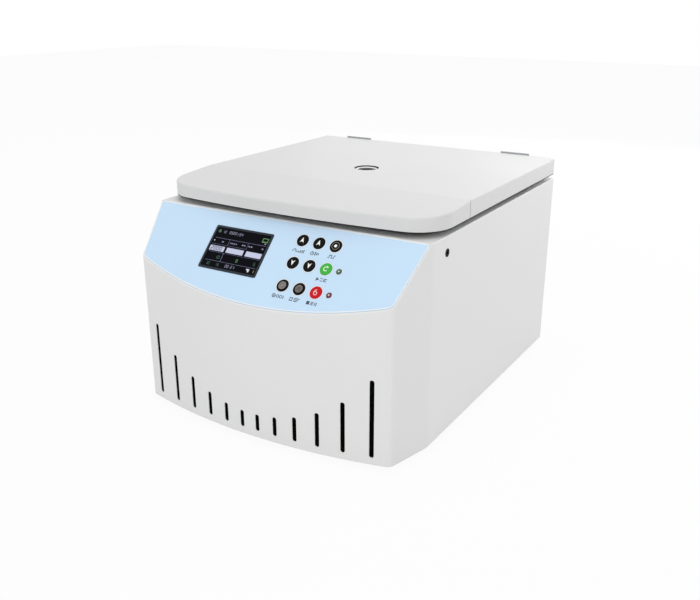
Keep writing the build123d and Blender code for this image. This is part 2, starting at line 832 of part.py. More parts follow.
with BuildPart() as hinge_base_leaves:
    for spot in hinge_spots:
        with BuildSketch(hinge_plane(spot)):
            with Locations((-hinge_back, z_top - seam - hinge_z)):
                Rectangle(leaf_thickness, leaf_drop, align=(Align.MIN, Align.MAX))
        extrude(amount=hinge_width / 2, both=True)
        for side in (-1, 1):
            with BuildSketch(hinge_plane(spot + side * hinge_width / 2)):
                Circle(knuckle_radius)
                with BuildLine():
                    Polyline(
                        (-hinge_back, z_top - seam - hinge_z),
                        (-hinge_back, z_top - 2 * knuckle_radius - hinge_z),
                        (-hinge_back + leaf_thickness, z_top - 2 * knuckle_radius - hinge_z),
                        (0, -knuckle_radius),
                        (-knuckle_radius, 0),
                        close=True,
                    )
                make_face()
                Circle(pin_radius + running_fit, mode=Mode.SUBTRACT)
            extrude(amount=-side * root_knuckle)
hinge_base_leaves.part.label = "hinge_base_leaves"
export_step(hinge_base_leaves.part, "parts/hinge_base_leaves.step")

with BuildPart() as hinge_lid_leaves:
    for spot in hinge_spots:
        with BuildSketch(hinge_plane(spot)):
            with Locations((lid_rear_y - hinge_y, z_lid_top + leaf_rise - hinge_z)):
                Rectangle(leaf_thickness, lid_height + leaf_rise, align=(Align.MIN, Align.MAX))
        extrude(amount=hinge_width / 2, both=True)
        with BuildSketch(hinge_plane(spot)):
            Circle(knuckle_radius)
            with BuildLine():
                Polyline(
                    (lid_rear_y - hinge_y, z_lid - hinge_z),
                    (lid_rear_y - hinge_y, z_lid + 2 * knuckle_radius - hinge_z),
                    (lid_rear_y - hinge_y + leaf_thickness, z_lid + 2 * knuckle_radius - hinge_z),
                    (0, knuckle_radius),
                    (-knuckle_radius, 0),
                    close=True,
                )
            make_face()
            Circle(pin_radius + running_fit, mode=Mode.SUBTRACT)
        extrude(amount=lid_knuckle / 2, both=True)
hinge_lid_leaves.part.label = "hinge_lid_leaves"
export_step(hinge_lid_leaves.part, "parts/hinge_lid_leaves.step")

with BuildPart() as hinge_pins:
    for spot in hinge_spots:
        with BuildSketch(hinge_plane(spot)):
            Circle(pin_radius)
        extrude(amount=hinge_width / 2, both=True)
        for side in (-1, 1):
            with BuildSketch(hinge_plane(spot + side * hinge_width / 2)):
                Circle(pin_head)
            extrude(amount=side * pin_head_height)
hinge_pins.part.label = "hinge_pins"
export_step(hinge_pins.part, "parts/hinge_pins.step")

# ---------------------------------------------------------------------------
# Lid: a hollow shell whose top slopes down in front of a crease, closed below by a liner
# ---------------------------------------------------------------------------
lid_front_y = y_front + lid_front
port_sleeve = port_radius + window_lap + port_wall
port_mouth = port_sleeve + port_flange
lid_slope = Plane(
    origin=(0, y_front + lid_crease, z_lid_top),
    x_dir=(1, 0, 0),
    z_dir=(0, lid_front_height - lid_height, lid_crease - lid_front),
)


def lid_plan(inset):
    """Outline of the lid seen from above: bowed front edge, large front corners, drawn in by the inset."""
    half = casing_width / 2 + lid_overhang
    with BuildSketch() as plan:
        with BuildLine():
            ThreePointArc((-half, lid_front_y + lid_bow), (0, lid_front_y), (half, lid_front_y + lid_bow))
            Polyline(
                (half, lid_front_y + lid_bow),
                (half, lid_rear_y),
                (-half, lid_rear_y),
                (-half, lid_front_y + lid_bow),
            )
        make_face()
        fillet(plan.vertices().group_by(Axis.Y)[-1], lid_rear_corner)
        fillet(plan.vertices().group_by(Axis.Y)[0], lid_corner)
        if inset:
            offset(amount=-inset)
    return plan.sketch


with BuildPart() as lid_hollow:
    with BuildSketch(Plane.XY.offset(z_lid)):
        add(lid_plan(lid_wall))
    extrude(amount=lid_height - lid_wall)
    split(bisect_by=lid_slope.offset(-lid_wall), keep=Keep.BOTTOM)
    # collar left round the viewing port
    with BuildSketch(Plane.XY.offset(z_liner + liner_thickness)):
        with Locations((0, chamber_y)):
            Circle(port_sleeve + seam + lid_wall)
    extrude(amount=lid_height, mode=Mode.SUBTRACT)

with BuildPart() as lid_shell:
    with BuildSketch(Plane.XY.offset(z_lid)):
        add(lid_plan(0))
    extrude(amount=lid_height)
    split(bisect_by=lid_slope, keep=Keep.BOTTOM)
    upper_faces = lid_shell.faces().group_by(Axis.Z)[-2:]
    fillet([edge for group in upper_faces for edge in group.edges()], lid_edge)
    add(lid_hollow.part, mode=Mode.SUBTRACT)
    # hole for the port's sleeve, counterbored for its flange
    for radius, depth in ((port_sleeve + seam, lid_height), (port_mouth + port_gap, port_rim)):
        with BuildSketch(Plane.XY.offset(z_lid_top)):
            with Locations((0, chamber_y)):
                Circle(radius)
        extrude(amount=-depth, mode=Mode.SUBTRACT)
    # fine grooves down both sides where the slope begins
    with BuildSketch(Plane.XY.offset(z_lid)):
        with Locations((0, y_front + lid_crease)):
            with GridLocations(casing_width + 2 * lid_overhang, 0, 2, 1):
                Rectangle(2 * lid_seam_depth, lid_seam_width)
    extrude(amount=lid_height, mode=Mode.SUBTRACT)
lid_shell.part.label = "lid_shell"
export_step(lid_shell.part, "parts/lid_shell.step")

with BuildPart() as lid_liner:
    with BuildSketch(Plane.XY.offset(z_liner)):
        add(lid_plan(lid_wall + seam))
        with Locations((0, chamber_y)):
            Circle(port_sleeve + seam, mode=Mode.SUBTRACT)
    extrude(amount=liner_thickness)
lid_liner.part.label = "lid_liner"
export_step(lid_liner.part, "parts/lid_liner.step")

# The window sits under a cone that opens upwards to the flange
z_window = z_lid_top - port_dish - port_wall / 2
with BuildPart() as port_ring:
    with BuildSketch(spin_plane):
        with BuildLine():
            window_seat = port_radius + window_lap
            Polyline(
                (window_seat, z_liner),
                (port_sleeve, z_liner),
                (port_sleeve, z_lid_top - port_rim),
                (port_mouth, z_lid_top - port_rim),
                (port_mouth, z_lid_top),
                (port_radius, z_lid_top - port_dish),
                (port_radius, z_window),
                (window_seat, z_window),
                close=True,
            )
        make_face()
    revolve(axis=spin_axis)
port_ring.part.label = "port_ring"
export_step(port_ring.part, "parts/port_ring.step")

with BuildPart() as port_window:
    with BuildSketch(Plane.XY.offset(z_window)):
        with Locations((0, chamber_y)):
            Circle(port_radius + window_lap - running_fit)
    extrude(amount=-window_thickness)
port_window.part.label = "port_window"
export_step(port_window.part, "parts/port_window.step")

# ---------------------------------------------------------------------------
# Lock: a striker under the lid, and a bolt that slides into its eye
# ---------------------------------------------------------------------------
lock_z = z_top - lock_drop
lock_plane = Plane(origin=(0, striker_y, lock_z), x_dir=(0, 1, 0), z_dir=(1, 0, 0))
with BuildPart() as lid_striker:
    with BuildSketch(Plane.XY.offset(z_liner)):
        with Locations((0, striker_y)):
            Rectangle(striker_foot_width, striker_width)
    extrude(amount=-striker_foot_height)
    with BuildSketch(lock_plane) as striker_side:
        with Locations((0, z_liner - striker_foot_height - lock_z)):
            tail = z_liner - striker_foot_height - lock_z + striker_tail
            Rectangle(striker_width, tail, align=(Align.CENTER, Align.MAX))
        chamfer(striker_side.vertices().group_by(Axis.Y)[0], striker_width / 4)
        Circle(bolt_radius + bolt_hole_gap, mode=Mode.SUBTRACT)
    extrude(amount=striker_thickness / 2, both=True)
lid_striker.part.label = "lid_striker"
export_step(lid_striker.part, "parts/lid_striker.step")

z_lock_top = z_deck - deck_thickness
pocket_depth = z_lock_top - lock_z + striker_tail + lock_floor_gap
with BuildPart() as lock_housing:
    with BuildSketch(Plane.XY.offset(z_lock_top)):
        with Locations((0, (slot_low + slot_high) / 2)):
            Rectangle(lock_width, slot_high - slot_low + 2 * lock_wall)
    extrude(amount=-pocket_depth - lock_wall)
    with BuildSketch(Plane.XY.offset(z_lock_top)):
        with Locations((0, (slot_low + slot_high) / 2)):
            Rectangle(slot_across, slot_high - slot_low)
    extrude(amount=-pocket_depth, mode=Mode.SUBTRACT)
    with BuildSketch(lock_plane):
        Circle(bolt_radius + running_fit)
    extrude(amount=lock_width, both=True, mode=Mode.SUBTRACT)
lock_housing.part.label = "lock_housing"
export_step(lock_housing.part, "parts/lock_housing.step")

bolt_start = striker_thickness / 2 + bolt_rest
with BuildPart() as lock_bolt:
    with BuildSketch(lock_plane.offset(bolt_start)):
        Circle(bolt_radius)
    extrude(amount=bolt_length)
    chamfer(lock_bolt.edges().sort_by(Axis.X)[0], bolt_radius / 3)
    with BuildSketch(lock_plane.offset(bolt_start + bolt_length)):
        Circle(rod_radius)
    extrude(amount=casing_width / 2 - wall - rod_end_gap - bolt_start - bolt_length)
    with BuildSketch(lock_plane.offset(casing_width / 2 - wall - rod_end_gap)):
        Circle(2 * rod_radius)
    extrude(amount=rod_radius)
lock_bolt.part.label = "lock_bolt"
export_step(lock_bolt.part, "parts/lock_bolt.step")

with BuildPart() as release_plug:
    with BuildSketch(side_plane):
        with Locations((striker_y, lock_z)):
            Circle(plug_radius)
    extrude(amount=-wall)
    with BuildSketch(side_plane):
        with Locations((striker_y, lock_z)):
            Circle(plug_radius + plug_flange)
    extrude(amount=plug_flange_height)
    with BuildSketch(side_plane.offset(plug_flange_height)):
        with Locations((striker_y, lock_z)):
            Circle(plug_bore_radius)
    extrude(amount=-plug_bore_depth, mode=Mode.SUBTRACT)
release_plug.part.label = "release_plug"
export_step(release_plug.part, "parts/release_plug.step")

# ---------------------------------------------------------------------------
# Drive: motor on rubber mounts, with its shaft up through the chamber floor
# ---------------------------------------------------------------------------
z_motor_plate = z_base + damper_height
z_motor = z_motor_plate + motor_plate_thickness
z_boot_top = z_chamber - chamber_wall
z_motor_top = z_boot_top - boot_height

with BuildPart() as damper_mounts:
    with BuildSketch(Plane.XY.offset(z_base)):
        with Locations((0, chamber_y)):
            with GridLocations(damper_pitch, damper_pitch, 2, 2):
                Circle(damper_radius)
    half_height = damper_height / 2
    damper_taper = math.degrees(math.atan((damper_radius - damper_waist) / half_height))
    extrude(amount=half_height, taper=damper_taper)
    mirror(about=Plane.XY.offset(z_base + half_height))
damper_mounts.part.label = "damper_mounts"
export_step(damper_mounts.part, "parts/damper_mounts.step")

with BuildPart() as motor_plate:
    with BuildSketch(Plane.XY.offset(z_motor_plate)):
        with Locations((0, chamber_y)):
            RectangleRounded(motor_plate_side, motor_plate_side, damper_radius)
            Circle(bearing_radius, mode=Mode.SUBTRACT)
    extrude(amount=motor_plate_thickness)
motor_plate.part.label = "motor_plate"
export_step(motor_plate.part, "parts/motor_plate.step")

with BuildPart() as motor_housing:
    with BuildSketch(spin_plane):
        with BuildLine():
            pocket = bearing_radius + running_fit
            bore = shaft_radius + 4 * seam
            Polyline(
                (bore, z_motor + bearing_height),
                (pocket, z_motor + bearing_height),
                (pocket, z_motor),
                (motor_radius, z_motor),
                (motor_radius, z_motor_top - motor_cap),
                (motor_radius - motor_cap, z_motor_top),
                (pocket, z_motor_top),
                (pocket, z_motor_top - bearing_height),
                (bore, z_motor_top - bearing_height),
                close=True,
            )
        make_face()
    revolve(axis=spin_axis)
    # cooling ribs
    with BuildSketch(Plane.XY.offset(z_motor)):
        with Locations((0, chamber_y)):
            with PolarLocations(motor_radius, motor_rib_count):
                Rectangle(2 * motor_rib_depth, motor_rib_depth / 2)
    extrude(amount=z_motor_top - motor_cap - z_motor)
motor_housing.part.label = "motor_housing"
export_step(motor_housing.part, "parts/motor_housing.step")

with BuildPart() as motor_bearings:
    for bearing_foot in (z_motor, z_motor_top - bearing_height):
        with BuildSketch(Plane.XY.offset(bearing_foot)):
            with Locations((0, chamber_y)):
                Circle(bearing_radius)
                Circle(shaft_radius + running_fit, mode=Mode.SUBTRACT)
        extrude(amount=bearing_height)
motor_bearings.part.label = "motor_bearings"
export_step(motor_bearings.part, "parts/motor_bearings.step")

with BuildPart() as shaft_boot:
    with BuildSketch(spin_plane):
        with BuildLine():
            inner = shaft_radius + boot_gap
            fold = boot_height / 4
            Polyline(
                (inner, z_motor_top),
                (drain_collar + 2 * boot_wall, z_motor_top),
                (drain_collar, z_motor_top + fold),
                (drain_collar + boot_wall, z_motor_top + 2 * fold),
                (drain_collar, z_motor_top + 3 * fold),
                (drain_collar + boot_wall, z_boot_top),
                (inner + boot_wall, z_boot_top),
                (inner, z_boot_top - fold),
                close=True,
            )
        make_face()
    revolve(axis=spin_axis)
shaft_boot.part.label = "shaft_boot"
export_step(shaft_boot.part, "parts/shaft_boot.step")

# ---------------------------------------------------------------------------
# Rotor: a dish with a hub, a windowed plate on its rim, and the nut that holds both on the spindle
# ---------------------------------------------------------------------------
z_pin = z_deck - pin_drop
z_plate_top = z_pin + trunnion_radius
z_plate = z_plate_top - plate_thickness
z_dish = z_chamber + dish_gap
clip_back = slide_offset + slide_thickness
clip_half = slide_width / 2 + seam + clip_thickness
dish_inner = math.hypot(pin_circle_radius + clip_back + clip_thickness, clip_half) + dish_clearance
dish_outer = dish_inner + dish_wall

with BuildPart() as motor_shaft:
    with BuildSketch(spin_plane):
        with BuildLine():
            Polyline(
                (0, z_motor),
                (shaft_radius, z_motor),
                (shaft_radius, z_dish - seam),
                (spindle_radius, z_dish + shaft_radius),
                (spindle_radius, z_plate_top + nut_height / 2),
                (0, z_plate_top + nut_height / 2),
                close=True,
            )
        make_face()
    revolve(axis=spin_axis)
motor_shaft.part.label = "motor_shaft"
export_step(motor_shaft.part, "parts/motor_shaft.step")

# the carriers' feet lean on this ring at rest
lean = math.radians(carrier_tilt)
lip_in = clip_back - clip_lip
foot_lean = pin_circle_radius + lip_in * math.cos(lean) - clip_foot * math.sin(lean)
foot_level = z_pin - clip_foot * math.cos(lean) - lip_in * math.sin(lean)
with BuildPart() as rotor_dish:
    with BuildSketch(spin_plane):
        with BuildLine():
            bore = spindle_radius + running_fit
            floor = z_dish + dish_wall
            Polyline(
                (bore, z_dish + shaft_radius + seam),
                (shaft_radius + running_fit, z_dish - seam),
                (hub_radius, z_dish - seam),
                (hub_radius + dish_wall, z_dish),
                (dish_outer, z_dish),
                (dish_outer, z_plate - dish_rim),
                (dish_outer + dish_rim, z_plate),
                (dish_inner, z_plate),
                (dish_inner, floor),
                (foot_lean - seam, floor),
                (foot_lean - seam, foot_level + clip_lip),
                (foot_lean - seam - dish_wall, foot_level + clip_lip),
                (foot_lean - seam - 2 * dish_wall, floor),
                (hub_radius + dish_wall, floor),
                (hub_radius, floor + 3 * dish_wall),
                (hub_radius, z_plate),
                (bore, z_plate),
                close=True,
            )
        make_face()
    revolve(axis=spin_axis)
rotor_dish.part.label = "rotor_dish"
export_step(rotor_dish.part, "parts/rotor_dish.step")

with BuildPart() as carrier_plate:
    with BuildSketch(Plane.XY.offset(z_plate)):
        with Locations((0, chamber_y)):
            Circle(plate_radius)
            Circle(spindle_radius + running_fit, mode=Mode.SUBTRACT)
            window_middle = pin_circle_radius + (plate_window_out - plate_window_in) / 2
            window = (plate_window_in + plate_window_out, plate_window_width)
            with PolarLocations(window_middle, carrier_count):
                RectangleRounded(*window, plate_window_corner, mode=Mode.SUBTRACT)
            with PolarLocations(pin_circle_radius / 2, carrier_count, start_angle=180 / carrier_count):
                Circle(plate_hole_radius, mode=Mode.SUBTRACT)
    extrude(amount=plate_thickness)
    chamfer(carrier_plate.edges().filter_by(GeomType.CIRCLE).sort_by(SortBy.RADIUS)[-2:], plate_chamfer)
    # grooves, open upwards, that the carriers' pins lie in
    for turn in range(carrier_count):
        around = Location((0, chamber_y, z_pin)) * Rot(0, 0, 360 / carrier_count * turn)
        groove_plane = Plane(around * Pos(pin_circle_radius, 0, 0) * Rot(90, 0, 0))
        with BuildSketch(groove_plane):
            groove_radius = trunnion_radius + running_fit
            Circle(groove_radius)
            Rectangle(2 * groove_radius, 2 * trunnion_radius, align=(Align.CENTER, Align.MIN))
        extrude(amount=clip_half + trunnion_length + seam, both=True, mode=Mode.SUBTRACT)
carrier_plate.part.label = "carrier_plate"
export_step(carrier_plate.part, "parts/carrier_plate.step")

with BuildPart() as rotor_nut:
    with BuildSketch(Plane.XY.offset(z_plate_top)):
        with Locations((0, chamber_y)):
            Circle(nut_radius)
            with PolarLocations(nut_radius + nut_flute_radius / 2, nut_flutes):
                Circle(nut_flute_radius, mode=Mode.SUBTRACT)
    extrude(amount=nut_height)
    chamfer(rotor_nut.faces().sort_by(Axis.Z)[-1].edges(), nut_chamfer)
    with BuildSketch(Plane.XY.offset(z_plate_top)):
        with Locations((0, chamber_y)):
            Circle(spindle_radius + running_fit)
    extrude(amount=nut_height / 2 + seam, mode=Mode.SUBTRACT)
rotor_nut.part.label = "rotor_nut"
export_step(rotor_nut.part, "parts/rotor_nut.step")

# ---------------------------------------------------------------------------
# Slide carriers, drawn upright with the pins' axis along Y through the origin and +X outwards:
# a sprung clip that holds a slide, a filter card and a capped sample cup whose port opens on the card
# ---------------------------------------------------------------------------
card_reach = slide_offset - card_thickness
flange_reach = card_reach - cup_flange
clip_top = slide_rise + clip_margin
with BuildPart() as clip:
    with BuildSketch(Plane.YZ.offset(clip_back)) as clip_sheet:
        with Locations((0, clip_top)):
            Rectangle(2 * clip_half, clip_top + clip_foot, align=(Align.CENTER, Align.MAX))
        fillet(clip_sheet.vertices().group_by(Axis.Y)[-1], clip_corner)
    extrude(amount=clip_thickness)
    # foot that the slide stands on, and its lip
    with BuildSketch(Plane.XY.offset(-clip_foot)):
        with Locations((clip_back, 0)):
            Rectangle(clip_lip, 2 * clip_half, align=(Align.MAX, Align.CENTER))
    extrude(amount=clip_thickness)
    # ears, the bar that presses on the cup, and the pins
    for side in (-1, 1):
        with BuildSketch(Plane.XZ.offset(-side * clip_half)) as ear:
            with Locations((clip_back, clip_ear_height / 2)):
                ear_size = (clip_back + clip_ear_in, clip_ear_height + clip_bar_drop)
                Rectangle(*ear_size, align=(Align.MAX, Align.MAX))
            fillet(ear.vertices().group_by(Axis.X)[0], clip_corner)
        extrude(amount=side * clip_thickness)
        with BuildSketch(Plane.XZ.offset(-side * clip_half)):
            Circle(trunnion_radius)
        extrude(amount=-side * trunnion_length)
    with BuildSketch(Plane.YZ.offset(flange_reach)):
        with Locations((0, -clip_bar_drop)):
            Rectangle(2 * clip_half, clip_bar_height)
    extrude(amount=-clip_thickness)

with BuildPart() as glass_slide:
    with BuildSketch(Plane.YZ.offset(slide_offset)):
        with Locations((0, slide_rise)):
            Rectangle(slide_width, slide_length, align=(Align.CENTER, Align.MAX))
    extrude(amount=slide_thickness)

with BuildPart() as filter_card:
    with BuildSketch(Plane.YZ.offset(card_reach)):
        with Locations((0, -cup_port_drop + card_length / 4)):
            Rectangle(slide_width - 2 * seam, card_length)
            with Locations((0, -card_length / 4)):
                Circle(cup_port_radius, mode=Mode.SUBTRACT)
    extrude(amount=card_thickness)

with BuildPart() as cup:
    with BuildSketch(Plane.XY.offset(cup_rise - cup_length)):
        with Locations((cup_offset, 0)):
            Circle(cup_radius)
    extrude(amount=cup_length)
    with BuildSketch(Plane.YZ.offset(flange_reach)):
        with Locations((0, -cup_port_drop + cup_flange_height / 4)):
            RectangleRounded(cup_flange_width, cup_flange_height, cup_flange_corner)
    extrude(amount=cup_flange)
    with BuildSketch(Plane.YZ.offset(cup_offset)):
        with Locations((0, -cup_port_drop)):
            Circle(cup_port_radius + cup_wall)
    extrude(amount=flange_reach - cup_offset)
    with BuildSketch(Plane.XY.offset(cup_rise)):
        with Locations((cup_offset, 0)):
            Circle(cup_radius - cup_wall)
    extrude(amount=cup_wall - cup_length, mode=Mode.SUBTRACT)
    with BuildSketch(Plane.YZ.offset(cup_offset)):
        with Locations((0, -cup_port_drop)):
            Circle(cup_port_radius)
    extrude(amount=card_reach - cup_offset, mode=Mode.SUBTRACT)

with BuildPart() as cup_cap:
    with BuildSketch(Plane.XY.offset(cup_rise)):
        with Locations((cup_offset, 0)):
            Circle(cup_radius + cap_overhang)
    extrude(amount=cap_height)
    chamfer(cup_cap.edges().sort_by(Axis.Z)[-1], cap_overhang)

for turn in range(carrier_count):
    around = Location((0, chamber_y, z_pin)) * Rot(0, 0, 360 / carrier_count * turn)
    seat = around * Pos(pin_circle_radius, 0, 0) * Rot(0, carrier_tilt, 0)
    held = [clip.part, glass_slide.part, filter_card.part, cup.part, cup_cap.part]
    carrier = Compound(label=f"carrier_{turn + 1}", children=[piece.moved(seat) for piece in held])
    export_step(carrier, f"parts/carrier_{turn + 1}.step")
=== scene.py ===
"""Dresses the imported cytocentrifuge: each CAD piece gets its finish, and the fine pieces are added."""

import json
import logging
import math
from dataclasses import dataclass, field
from enum import Enum

import bmesh
import bpy
from mathutils import Matrix, Vector


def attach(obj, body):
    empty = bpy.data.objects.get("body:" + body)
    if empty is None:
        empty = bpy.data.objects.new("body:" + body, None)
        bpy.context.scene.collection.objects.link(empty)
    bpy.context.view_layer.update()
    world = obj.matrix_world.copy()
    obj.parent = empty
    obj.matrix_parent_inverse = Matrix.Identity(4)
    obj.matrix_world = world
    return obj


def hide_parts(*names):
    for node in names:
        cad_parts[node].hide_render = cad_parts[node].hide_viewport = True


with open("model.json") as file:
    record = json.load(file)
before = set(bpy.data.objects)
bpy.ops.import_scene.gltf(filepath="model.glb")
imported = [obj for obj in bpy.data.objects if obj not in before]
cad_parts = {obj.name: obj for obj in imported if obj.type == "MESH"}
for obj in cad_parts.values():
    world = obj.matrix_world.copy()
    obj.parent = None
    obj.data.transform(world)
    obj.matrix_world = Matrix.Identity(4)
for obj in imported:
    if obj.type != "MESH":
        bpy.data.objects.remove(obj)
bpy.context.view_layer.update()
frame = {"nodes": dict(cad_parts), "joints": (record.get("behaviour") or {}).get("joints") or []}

Colour = tuple[float, float, float, float]
Spot = tuple[float, float, float]
Outline = list[tuple[float, float]]
Inputs = dict[int | str, float | Colour]
Part = bmesh.types.BMesh
Tree = bpy.types.ShaderNodeTree
Node = bpy.types.ShaderNode

LOG = logging.getLogger("cytocentrifuge")
MM = 0.001
DUST_COLOUR = "c9c7c2"
COAT_ROUGHNESS = 0.08
BUMP_HEIGHT = 0.0004  # metres
SHARP_TURN = 30.0  # degrees, from which an edge of a part is rounded
SMOOTH_TURN = 34.0  # degrees, up to which two faces are shaded as one
MERGE_PART, MERGE_CAD = 1e-4, 1e-3  # millimetres, within which two corners are one
LEVEL, LEVEL_REACH = 0.999, 0.05  # the normal's rise and the height in millimetres of a level face
FACTOR, COLOUR_A, COLOUR_B, MIXED = 0, 6, 7, 2  # the sockets of a Mix node for colours


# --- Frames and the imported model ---
def moved(x: float, y: float, z: float) -> Matrix:
    """Returns a move."""
    return Matrix.Translation((x, y, z))


def turned(degrees: float, axis: str) -> Matrix:
    """Returns a turn about a main axis."""
    return Matrix.Rotation(math.radians(degrees), 4, axis)


def facing(x: Vector, y: Vector, z: Vector) -> Matrix:
    """Returns the frame at the origin that has these three directions."""
    return Matrix((x, y, z)).transposed().to_4x4()


def joint(name: str) -> dict:
    """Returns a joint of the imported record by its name."""
    return next(j for j in frame["joints"] if j["name"] == name)


def node_points(name: str) -> list[Vector]:
    """Returns the corners of a CAD node at rest, in millimetres."""
    return [v.co / MM for v in frame["nodes"][name].data.vertices]


def node_box(name: str) -> tuple[Vector, Vector]:
    """Returns the low and the high corner of a CAD node's box at rest, in millimetres."""
    points = node_points(name)
    return tuple(Vector(pick(p[axis] for p in points) for axis in range(3)) for pick in (min, max))


def linked(name: str, data: bpy.types.ID) -> bpy.types.Object:
    """Makes an object of a mesh, light or camera.

    Args:
        name: the object's name.
        data: what it shows.

    Returns:
        The object, in the scene.
    """
    made = bpy.data.objects.new(name, data)
    bpy.context.scene.collection.objects.link(made)
    return made


# --- Shader nodes ---
def linear(code: str) -> Colour:
    """Turns a display colour into the linear one that shaders take.

    Args:
        code: six hexadecimal digits, red first.

    Returns:
        Linear red, green and blue, and an alpha of one.
    """
    parts = [int(code[i:i + 2], 16) / 255 for i in (0, 2, 4)]
    flat = [p / 12.92 if p <= 0.04045 else ((p + 0.055) / 1.055) ** 2.4 for p in parts]
    return flat[0], flat[1], flat[2], 1.0


def shade(colour: Colour, share: float) -> Colour:
    """Returns a colour made lighter or darker by a share, and kept within range."""
    red, green, blue = (min(channel * share, 1.0) for channel in colour[:3])
    return red, green, blue, 1.0


def wire(tree: Tree, *links: tuple) -> None:
    """Links nodes.

    Args:
        tree: the node tree.
        links: each link's node and output, and the node and input that it leads to.
    """
    for source, output, target, socket in links:
        tree.links.new(source.outputs[output], target.inputs[socket])


def add_node(tree: Tree, kind: str, inputs: Inputs | None = None, **settings: object) -> Node:
    """Adds a node.

    Args:
        tree: the node tree.
        kind: the node's kind, without the word that all kinds begin with.
        inputs: the inputs' values, by their names or their places.
        settings: the node's own settings.

    Returns:
        The new node.
    """
    made = tree.nodes.new("ShaderNode" + kind)
    for setting, value in settings.items():
        setattr(made, setting, value)
    return filled(made, inputs or {})


def filled(made: Node, inputs: Inputs) -> Node:
    """Sets a node's inputs by their names or their places, and returns the node."""
    for socket, value in inputs.items():
        made.inputs[socket].default_value = value
    return made


def mix_colour(tree: Tree, high: Colour, low: Colour | None = None) -> Node:
    """Adds a Mix node for colours; the colour at a factor of zero is linked where none is given."""
    ends = {COLOUR_B: high} if low is None else {COLOUR_A: low, COLOUR_B: high}
    return add_node(tree, "Mix", ends, data_type="RGBA")


def effect(tree: Tree, name: str, inputs: dict[str, float]) -> Node:
    """Places a shared effect in a material and sets its inputs."""
    return add_node(tree, "Group", inputs, node_tree=EFFECTS.get(name))


def plain_rays(tree: Tree) -> Node:
    """Adds nodes that tell the rays which show the background from those that carry light.

    Args:
        tree: the node tree of a material or of the world.

    Returns:
        A node whose output is one for camera, glossy and transmission rays.
    """
    path = add_node(tree, "LightPath")
    either, seen = (add_node(tree, "Math", operation="MAXIMUM") for _ in range(2))
    wire(
        tree,
        (path, "Is Camera Ray", either, 0), (path, "Is Glossy Ray", either, 1),
        (either, 0, seen, 0), (path, "Is Transmission Ray", seen, 1),
    )
    return seen


class Grain(Enum):
    """The kinds of fine texture that a surface can have, by the name of their node group."""

    MOULDED = "moulded_grain"
    BRUSHED = "brushed_lines"
    TURNED = "turned_lines"


